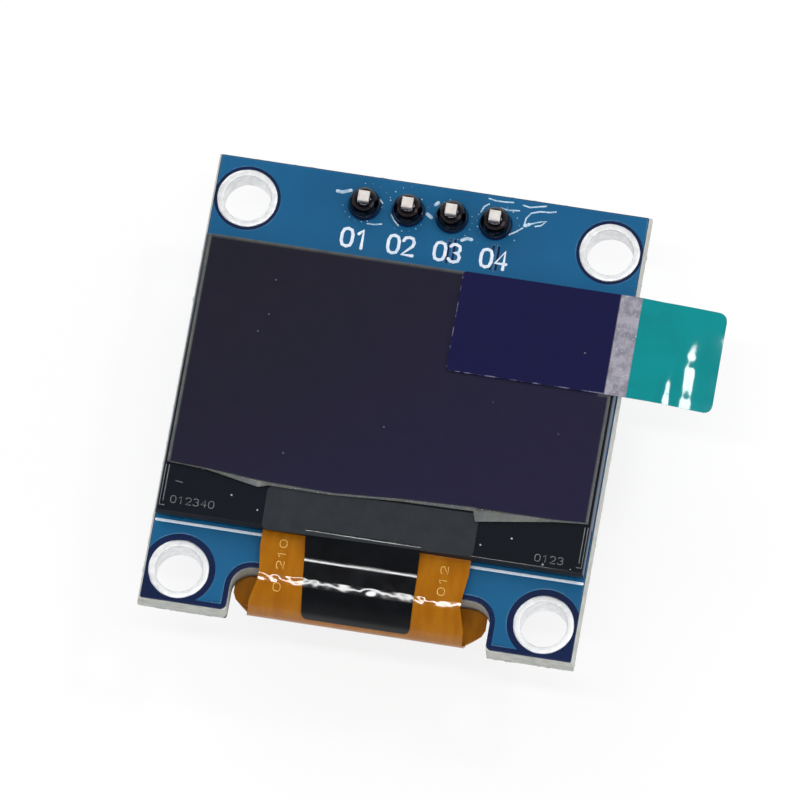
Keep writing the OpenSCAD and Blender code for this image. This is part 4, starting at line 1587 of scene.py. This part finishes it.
@dataclass
class FlexCable:
    """The flex cable: bonded under the ledge, folded through the notch, soldered behind."""

    shift: float = -0.12
    thick: float = 0.1
    start_y: float = -7.4
    start_z: float = 2.25
    depth: float = -0.45
    return_tilt: float = 7.0
    return_r: float = 4.0
    cover_y: float = -8.18
    cover_end: float = -12.85
    # The tight crease over the notch's edge, then the slope down to the fold
    crease: tuple[tuple[float, float, float, int], ...] = (
        (0.08, 8, 12, 4), (0.42, 12, 15.4, 10), (0.14, 15.4, 24, 5), (1.25, 24, 31, 10),
    )
    tail_end: float = field(default_factory=lambda: box_mm("flex_cable")[1].y)

    @staticmethod
    def walk(
        start: tuple[float, float], runs: Sequence[tuple[float, float, float, int]]
    ) -> list[tuple[float, float, float]]:
        """Follows a line by its headings.

        The heading is 0 towards -Y, and grows as the line turns down and back.

        Args:
            start: y and z of its first point.
            runs: Length, first heading, last heading and steps of each stretch.

        Returns:
            y, z and heading in degrees along the line.
        """
        y, z = start
        points = [(y, z, float(runs[0][1]))]
        for length, first, last, steps in runs:
            for k in range(steps):
                heading = math.radians(first + (last - first) * (k + 0.5) / steps)
                y -= length / steps * math.cos(heading)
                z -= length / steps * math.sin(heading)
                points.append((y, z, first + (last - first) * (k + 1) / steps))
        return points

    def line(self) -> list[tuple[float, float, float]]:
        """Returns the cable's centre line, as y, z and heading in degrees."""
        runs = [(1.0, 0, 0, 4), (0.3, 0, 5.5, 3), (1.25, 5.5, 7, 8), (0.87, 7, 8, 6)]
        points = self.walk((self.start_y, self.start_z), runs + list(self.crease))
        y, z, first = points[-1]
        tilt = math.radians(self.return_tilt)
        a0, a1 = math.radians(first), math.pi + tilt
        radius = (z - self.depth) / (math.cos(a0) - math.cos(a1))
        cy, cz = y + radius * math.sin(a0), z - radius * math.cos(a0)
        for k in range(1, 41):
            a = a0 + (a1 - a0) * k / 40
            points.append((cy - radius * math.sin(a), cz + radius * math.cos(a), math.degrees(a)))
        y, z, heading = points[-1]
        rise = -self.thick / 2 - z - self.return_r * (1 - math.cos(tilt))
        run = rise / math.tan(tilt)
        for k in range(1, 9):
            points.append((y + run * k / 8, z + rise * k / 8, heading))
        y, z, _ = points[-1]
        for k in range(1, 7):
            a = math.pi + tilt * (1 - k / 6)
            points.append(
                (
                    y + self.return_r * (math.sin(tilt) - math.sin(a - math.pi)),
                    z + self.return_r * (math.cos(a - math.pi) - math.cos(tilt)),
                    math.degrees(a),
                )
            )
        last = points[-1][0]
        for k in range(1, 5):
            points.append((last + (self.tail_end - last) * k / 4, -self.thick / 2, 180.0))
        return points

    def cover_line(self) -> list[tuple[float, float, float]]:
        """Returns the cover's centre line: from the tape's edge down to the cable."""
        raised = 0.08
        runs = [
            (0.06, 6, 12, 3), (0.18, 12, 15.4, 5), (0.08, 15.4, 26, 3), (1.2, 26, 27, 8),
            (0.09, 27, 16, 4), (0.22, 16, 12, 6), (0.08, 12, 8, 3),
        ]
        start = self.walk((self.cover_y, 0.0), runs)
        meet = start[-1][0]
        below = [p for p in self.line() if p[0] < meet - 0.02 and p[2] < 60 and p[0] > self.cover_end]
        first = below[0]
        shift = first[1] + raised + (meet - first[0]) * math.tan(math.radians(8)) - start[-1][1]
        points = [(y, z + shift, h) for y, z, h in start]
        for y, z, heading in below:
            a = math.radians(heading)
            points.append((y - raised * math.sin(a), z + raised * math.cos(a), heading))
        return points

    def half_width(self, y: float, heading: float) -> float:
        """Returns half the cable's width at a point of its line.

        Args:
            y: Place up the board.
            heading: The line's heading there, in degrees.
        """
        front = [(-20, 6.2), (-13.6, 6.1), (-13.2, 6.2), (-12.4, 6.2), (-11.2, 5.85), (-10.7, 5.85), (-9.3, 6.02), (0, 6.02)]
        back = [(-20, 6.1), (-13.6, 6.1), (-12.6, 6.35), (-11.8, 7.3), (-10.3, 7.3), (-9.25, 9.4), (0, 9.4)]
        knots = front if heading <= 90 else back
        for (y0, w0), (y1, w1) in zip(knots, knots[1:]):
            if y <= y1:
                return w0 + (w1 - w0) * (y - y0) / (y1 - y0)
        return knots[-1][1]

    def surface(
        self,
        name: str,
        line: Sequence[tuple[float, float, float]],
        half: Callable[[float, float], Point2],
        thick: float,
        across: int,
    ) -> bpy.types.Object:
        """Sweeps a thin layer along a line, with small wrinkles at the crease.

        Args:
            name: Name of the piece.
            line: The layer's own centre line.
            half: Left and right edge at a place on the line.
            thick: Thickness of the layer.
            across: Columns across the layer.

        Returns:
            The closed layer.
        """
        rows, ups = [], []
        for y, z, heading in line:
            a = math.radians(heading)
            up = Vector((0, -math.sin(a), math.cos(a)))
            left, right = half(y, heading)
            row, lifts = [], []
            for j in range(across + 1):
                x = left + (right - left) * j / across
                near = math.exp(-(((y + 10.95) / 0.3) ** 2)) if heading < 60 else 0.0
                size = 0.014 if -3.4 < x < 3.1 else 0.03
                ruffle = noise.noise(Vector((x * 2.6, y * 2.2, 2.0))) * size * near
                wave = 0.006 * noise.noise(Vector((x * 0.45, y * 0.8, 4.0)))
                place = Vector((x, y, z)) + up * (ruffle + wave)
                row.append(tuple(place))
                lifts.append(up)
            rows.append(row)
            ups.append(lifts)
        return sheet_mesh(name, rows, ups, thick)

    def build(self) -> None:
        """Makes and dresses the cable, its cover and its solder joints."""
        line = self.line()

        def edges(y: float, heading: float) -> Point2:
            """Returns the cable's two edges."""
            half = self.half_width(y, heading)
            return (self.shift - half, self.shift + half)

        cable = self.surface("flex_cable_folded", line, edges, self.thick, 72)
        wear(cable, Finishes.POLYIMIDE, "flex_cable")
        covered = self.cover_line()
        start, end = covered[0][0], covered[-1][0]

        def cover_edges(y: float, heading: float) -> Point2:
            """Returns the cover's two edges, a little askew and round at its end."""
            t = (start - y) / (start - end)
            near = max(0.0, 0.3 - (y - end))
            inset = 0.3 - math.sqrt(max(0.0, 0.09 - near * near)) if near > 0 else 0.0
            return (-3.66 + 0.44 * t + inset, 2.98 + 0.06 * t - inset)

        cover = self.surface("flex_cover_coat", covered, cover_edges, 0.06, 60)
        wear(cover, Finishes.COVER, "flex_cover")
        self.numbers(line)
        self.joints()

    def numbers(self, line: Sequence[tuple[float, float, float]]) -> None:
        """Draws plain numbers up both amber sides, draped on the cable.

        Args:
            line: The cable's centre line.
        """
        upright = Digits(0.42, 0.42, 0.2, turned=True)
        strokes = upright.word("0 210", -4.62, -10.3) + upright.word("012", 4.7, -9.8)
        piece = ink_strokes("flex_numbers", strokes, 0.06, 0.0, 0.008)
        front = [(y, z) for y, z, h in line if h < 60]
        knots = sorted(front)
        for vertex in piece.data.vertices:
            top = along_knots(knots, vertex.co.y / MM) + self.thick / 2 + 0.008
            vertex.co.z += top * MM
        piece.data.update()
        wear(piece, Finishes.GOLD_MARK)

    def joints(self) -> None:
        """Sets the solder joints in a row along the tail."""
        low, high = box_mm("flex_joints")
        count = 30
        width = 0.38
        pitch = (high.x - low.x - width) / (count - 1)
        work = bmesh.new()
        depth = -low.z
        section = [
            (0.0, -0.1), (0.15, -0.16), (0.7, -0.19), (1.2, -0.21), (1.42, -depth + 0.02),
            (1.55, -0.12), (1.68, -0.04), (1.75, 0.0), (1.3, 0.0), (1.3, -0.1),
        ]
        rings = []
        for x, swell in ((-0.5, 0.7), (-0.42, 0.92), (0.0, 1.0), (0.42, 0.92), (0.5, 0.7)):
            rings.append(
                [
                    work.verts.new((x * width * MM, v * MM, (-0.1 + (w + 0.1) * swell) * MM))
                    for v, w in section
                ]
            )
        for a, b in zip(rings, rings[1:]):
            for j in range(len(section)):
                k = (j + 1) % len(section)
                work.faces.new((a[j], b[j], b[k], a[k]))
        work.faces.new(rings[0])
        work.faces.new(rings[-1])
        bmesh.ops.recalc_face_normals(work, faces=work.faces)
        mesh = bpy.data.meshes.new("joint")
        work.to_mesh(mesh)
        work.free()
        joint = bpy.data.objects.new("joint", mesh)
        bpy.context.scene.collection.objects.link(joint)
        places = [(low.x + width / 2 + i * pitch, low.y, 0.0) for i in range(count)]
        row = SPREADER.spread("tail_joints", joint, places, Finishes.BRIGHT_SOLDER)
        wear(row, Finishes.BRIGHT_SOLDER, "flex_joints")


@dataclass
class PullTab:
    """The pull tab on the protective film, drooping and rippled beyond the board."""

    corner: float = 0.5
    inner_corner: float = 0.25
    # Ripples: place, depth of the step, width, and where each fades out upwards
    ripples: tuple[tuple[float, float, float, float], ...] = (
        (15.3, 0.17, 0.26, 5.3), (16.33, 0.135, 0.38, 7.2), (14.5, 0.16, 0.1, 3.4),
    )

    def build(self) -> None:
        """Makes and dresses the tab."""
        low, high = box_mm("pull_tab")
        film = box_mm("protective_film")[1].z
        droop_from, radius = 12.2, 30.0
        columns, rows_n = 300, 70
        rows, ups = [], []
        for i in range(rows_n + 1):
            row, lift = [], []
            t = i / rows_n
            for j in range(columns + 1):
                x = low.x + (high.x - low.x) * j / columns
                inset = max(
                    self.round_in(x - low.x, self.inner_corner),
                    self.round_in(high.x - x, self.corner),
                )
                y = high.y - inset - (high.y - low.y - 2 * inset) * t
                z = film + 0.04
                if x > droop_from:
                    z -= radius * (1 - math.cos((x - droop_from) / radius))
                row.append((x, y, z + self.ripple(x, y)))
                lift.append(Vector((0, 0, 1)))
            rows.append(row)
            ups.append(lift)
        piece = sheet_mesh("pull_tab_sheet", rows, ups, 0.05)
        wear(piece, Finishes.TAB, "pull_tab")

    def round_in(self, gap: float, radius: float) -> float:
        """Returns how far a round corner draws the edge in.

        Args:
            gap: Distance from the tab's end.
            radius: Radius of the corner.
        """
        if gap >= radius:
            return 0.0
        return radius - math.sqrt(max(0.0, radius * radius - (radius - gap) ** 2))

    def ripple(self, x: float, y: float) -> float:
        """Returns the height of the tab's ripples at a place.

        Args:
            x: Place along the tab.
            y: Place up the tab.
        """
        free = min(1.0, max(0.0, (x - 13.0) / 1.2))
        height = -0.012 * max(0.0, y - 5.0) ** 2 * free
        for place, slope, width, fade in self.ripples:
            strength = min(1.0, max(0.0, (fade - y) / 2.4))
            middle = place + 0.06 * noise.noise(Vector((y * 1.3, place, 0.0)))
            step = math.erf((x - middle) / width) + 1
            height -= slope * width * math.sqrt(math.pi) / 2 * step * strength
        return height + 0.01 * noise.noise(Vector((x * 0.5, y * 0.5, 1.0))) * free


@dataclass
class BackParts:
    """The small parts on the board's back."""

    chip_l: float = 1.6
    chip_w: float = 0.8
    end_l: float = 0.3

    def build(self) -> None:
        """Makes and dresses the chips and the regulator."""
        self.chips("capacitor", 8, 0.75, Finishes.CHIP_CERAMIC)
        self.chips("resistor", 7, 0.45, Finishes.CHIP_GLAZE)
        dress_node("regulator_body", Finishes.CHIP_RESIN)
        dress_node("regulator_leads", Finishes.TIN)
        dress_node("regulator_joints", Finishes.BRIGHT_SOLDER)
        dress_node("chip_joints", Finishes.BRIGHT_SOLDER)

    def chips(self, kind: str, count: int, height: float, finish: Finishes) -> None:
        """Sets one kind of chip on its places: bodies, then tinned ends.

        Args:
            kind: The chips' name in the solids.
            count: How many there are.
            height: Their height.
            finish: What their bodies are made of.
        """
        places: list[Point3] = []
        for i in range(count):
            low, high = box_mm(f"{kind}_{i + 1}")
            places.append(((low.x + high.x) / 2, (low.y + high.y) / 2, 0.0))
        skin = 0.03
        body_l = self.chip_l - 2 * self.end_l + 0.06
        body = block_part(
            (self.chip_w - 2 * skin, body_l, height - 2 * skin),
            (-self.chip_w / 2 + skin, -body_l / 2, -height + skin), 0.03,
        )
        names = [f"{kind}_{i + 1}" for i in range(count)]
        wear(SPREADER.spread(f"{kind}_bodies", body, places, finish), finish, *names)
        ends = [(x, y + s * (self.chip_l - self.end_l) / 2, z) for x, y, z in places for s in (-1, 1)]
        cap = block_part(
            (self.chip_w, self.end_l, height), (-self.chip_w / 2, -self.end_l / 2, -height), 0.05
        )
        wear(SPREADER.spread(f"{kind}_ends", cap, ends, Finishes.TIN), Finishes.TIN)


@dataclass
class Stage:
    """Camera, floor and studio light."""

    tilt: float = 17.5
    lean: float = 5.48
    roll: float = 10.28
    aim: Point3 = (0.035, 1.18, 0.0)
    distance: float = 880.0
    lens: float = 691.7
    floor_z: float = -8.45

    def camera(self) -> None:
        """Sets the camera."""
        t, p = math.radians(self.tilt), math.radians(self.lean)
        back = Vector((math.sin(p) * math.cos(t), -math.sin(t), math.cos(p) * math.cos(t)))
        across = Vector((0, 1, 0)).cross(back).normalized()
        above = back.cross(across)
        r = math.radians(self.roll)
        right = across * math.cos(r) + above * math.sin(r)
        up = above * math.cos(r) - across * math.sin(r)
        place = (Vector(self.aim) + back * self.distance) * MM
        data = bpy.data.cameras.new("camera")
        data.lens = self.lens
        data.sensor_width = 36.0
        data.clip_start = 0.01
        data.clip_end = 50.0
        camera = bpy.data.objects.new("camera", data)
        bpy.context.scene.collection.objects.link(camera)
        camera.matrix_world = Matrix(
            (
                (right.x, up.x, back.x, place.x),
                (right.y, up.y, back.y, place.y),
                (right.z, up.z, back.z, place.z),
                (0, 0, 0, 1),
            )
        )
        bpy.context.scene.camera = camera

    def seen(self, tree: bpy.types.NodeTree) -> bpy.types.NodeSocket:
        """Returns 1 for camera, glossy and transmission rays, else 0."""
        path = add_node(tree, "ShaderNodeLightPath").outputs
        first = add_node(
            tree,
            "ShaderNodeMath",
            {"operation": "MAXIMUM"},
            {0: path["Is Camera Ray"], 1: path["Is Glossy Ray"]},
        )
        return add_node(
            tree,
            "ShaderNodeMath",
            {"operation": "MAXIMUM"},
            {0: first.outputs[0], 1: path["Is Transmission Ray"]},
        ).outputs[0]

    def floor(self) -> None:
        """Lays the pale floor, which stays white and keeps a soft shadow."""
        half = 2000.0
        z = self.floor_z
        piece = piece_from(
            "floor", [(-half, -half, z), (half, -half, z), (half, half, z), (-half, half, z)],
            [(0, 1, 2, 3)], None,
        )
        material = bpy.data.materials.new("Pale floor")
        material.use_nodes = True
        tree = material.node_tree
        tree.nodes.clear()
        paint = add_node(tree, "ShaderNodeBsdfDiffuse", {"Color": (0.86, 0.86, 0.86, 1)})
        glow = add_node(tree, "ShaderNodeEmission", {"Color": (1, 1, 1, 1), "Strength": 1.04})
        share = add_node(
            tree, "ShaderNodeMath", {"operation": "MULTIPLY", 1: 0.78}, {0: self.seen(tree)}
        )
        mix = add_node(
            tree,
            "ShaderNodeMixShader",
            {},
            {0: share.outputs[0], 1: paint.outputs[0], 2: glow.outputs[0]},
        )
        add_node(tree, "ShaderNodeOutputMaterial", {}, {"Surface": mix.outputs[0]})
        piece.data.materials.append(material)

    def world(self) -> None:
        """Sets the surrounding light: even for matt surfaces, darker overhead for gloss."""
        world = bpy.data.worlds.new("studio")
        bpy.context.scene.world = world
        world.use_nodes = True
        tree = world.node_tree
        tree.nodes.clear()
        path = add_node(tree, "ShaderNodeLightPath").outputs
        ray = add_node(tree, "ShaderNodeTexCoord").outputs["Generated"]
        height = add_node(tree, "ShaderNodeSeparateXYZ", {}, {0: ray}).outputs[2]
        level = add_node(
            tree, "ShaderNodeMapRange", {1: 0.3, 2: 0.8, 3: 0.9, 4: 0.08}, {0: height}
        ).outputs[0]
        even = add_node(
            tree, "ShaderNodeMix", {2: 0.48}, {0: path["Is Glossy Ray"], 3: level}
        ).outputs[0]
        strength = add_node(
            tree, "ShaderNodeMix", {3: 1.0}, {0: path["Is Camera Ray"], 2: even}
        ).outputs[0]
        sky = add_node(
            tree, "ShaderNodeBackground", {"Color": (1, 1, 1, 1)}, {"Strength": strength}
        )
        add_node(tree, "ShaderNodeOutputWorld", {}, {"Surface": sky.outputs[0]})

    def lamp(
        self, name: str, tilt: float, turn: float, reach: float, size: Point2, power: float
    ) -> None:
        """Hangs a softbox that points at the origin.

        Args:
            name: Name of the lamp.
            tilt: Degrees from straight overhead.
            turn: Degrees round from +X.
            reach: Distance in metres.
            size: Width along the floor and depth, in metres.
            power: Power in watts.
        """
        a, b = math.radians(tilt), math.radians(turn)
        back = Vector((math.sin(a) * math.cos(b), math.sin(a) * math.sin(b), math.cos(a)))
        data = bpy.data.lights.new(name, "AREA")
        data.shape = "RECTANGLE"
        data.size, data.size_y = size
        data.energy = power
        lamp = bpy.data.objects.new(name, data)
        bpy.context.scene.collection.objects.link(lamp)
        across = Vector((-math.sin(b), math.cos(b), 0))
        up = back.cross(across)
        place = back * reach
        lamp.matrix_world = Matrix(
            (
                (across.x, up.x, back.x, place.x),
                (across.y, up.y, back.y, place.y),
                (across.z, up.z, back.z, place.z),
                (0, 0, 0, 1),
            )
        )

    def build(self) -> None:
        """Builds the stage and its light."""
        scene = bpy.context.scene
        scene.view_settings.view_transform = "Standard"
        self.camera()
        self.floor()
        self.world()
        self.lamp("strip_softbox", 10, -90, 0.6, (0.36, 0.036), 1.1)
        self.lamp("key_softbox", 48, 125, 0.7, (0.4, 0.4), 1.0)
        self.lamp("fill_softbox", 62, -10, 0.8, (0.4, 0.4), 1.0)
        self.lamp("streak_softbox", 29.9, 37.1, 0.7, (0.1, 0.1), 0.75)


def main() -> None:
    """Builds the module's looks and its stage, in order."""
    logging.basicConfig(level=logging.INFO, format="%(name)s: %(message)s")
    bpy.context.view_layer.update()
    Stage().build()
    for part in (Board(), MountingRings(), Header(), Panel(), FlexCable(), PullTab(), BackParts()):
        part.build()
        LOG.info("%s is built", type(part).__name__)


if __name__ == "__main__":
    main()
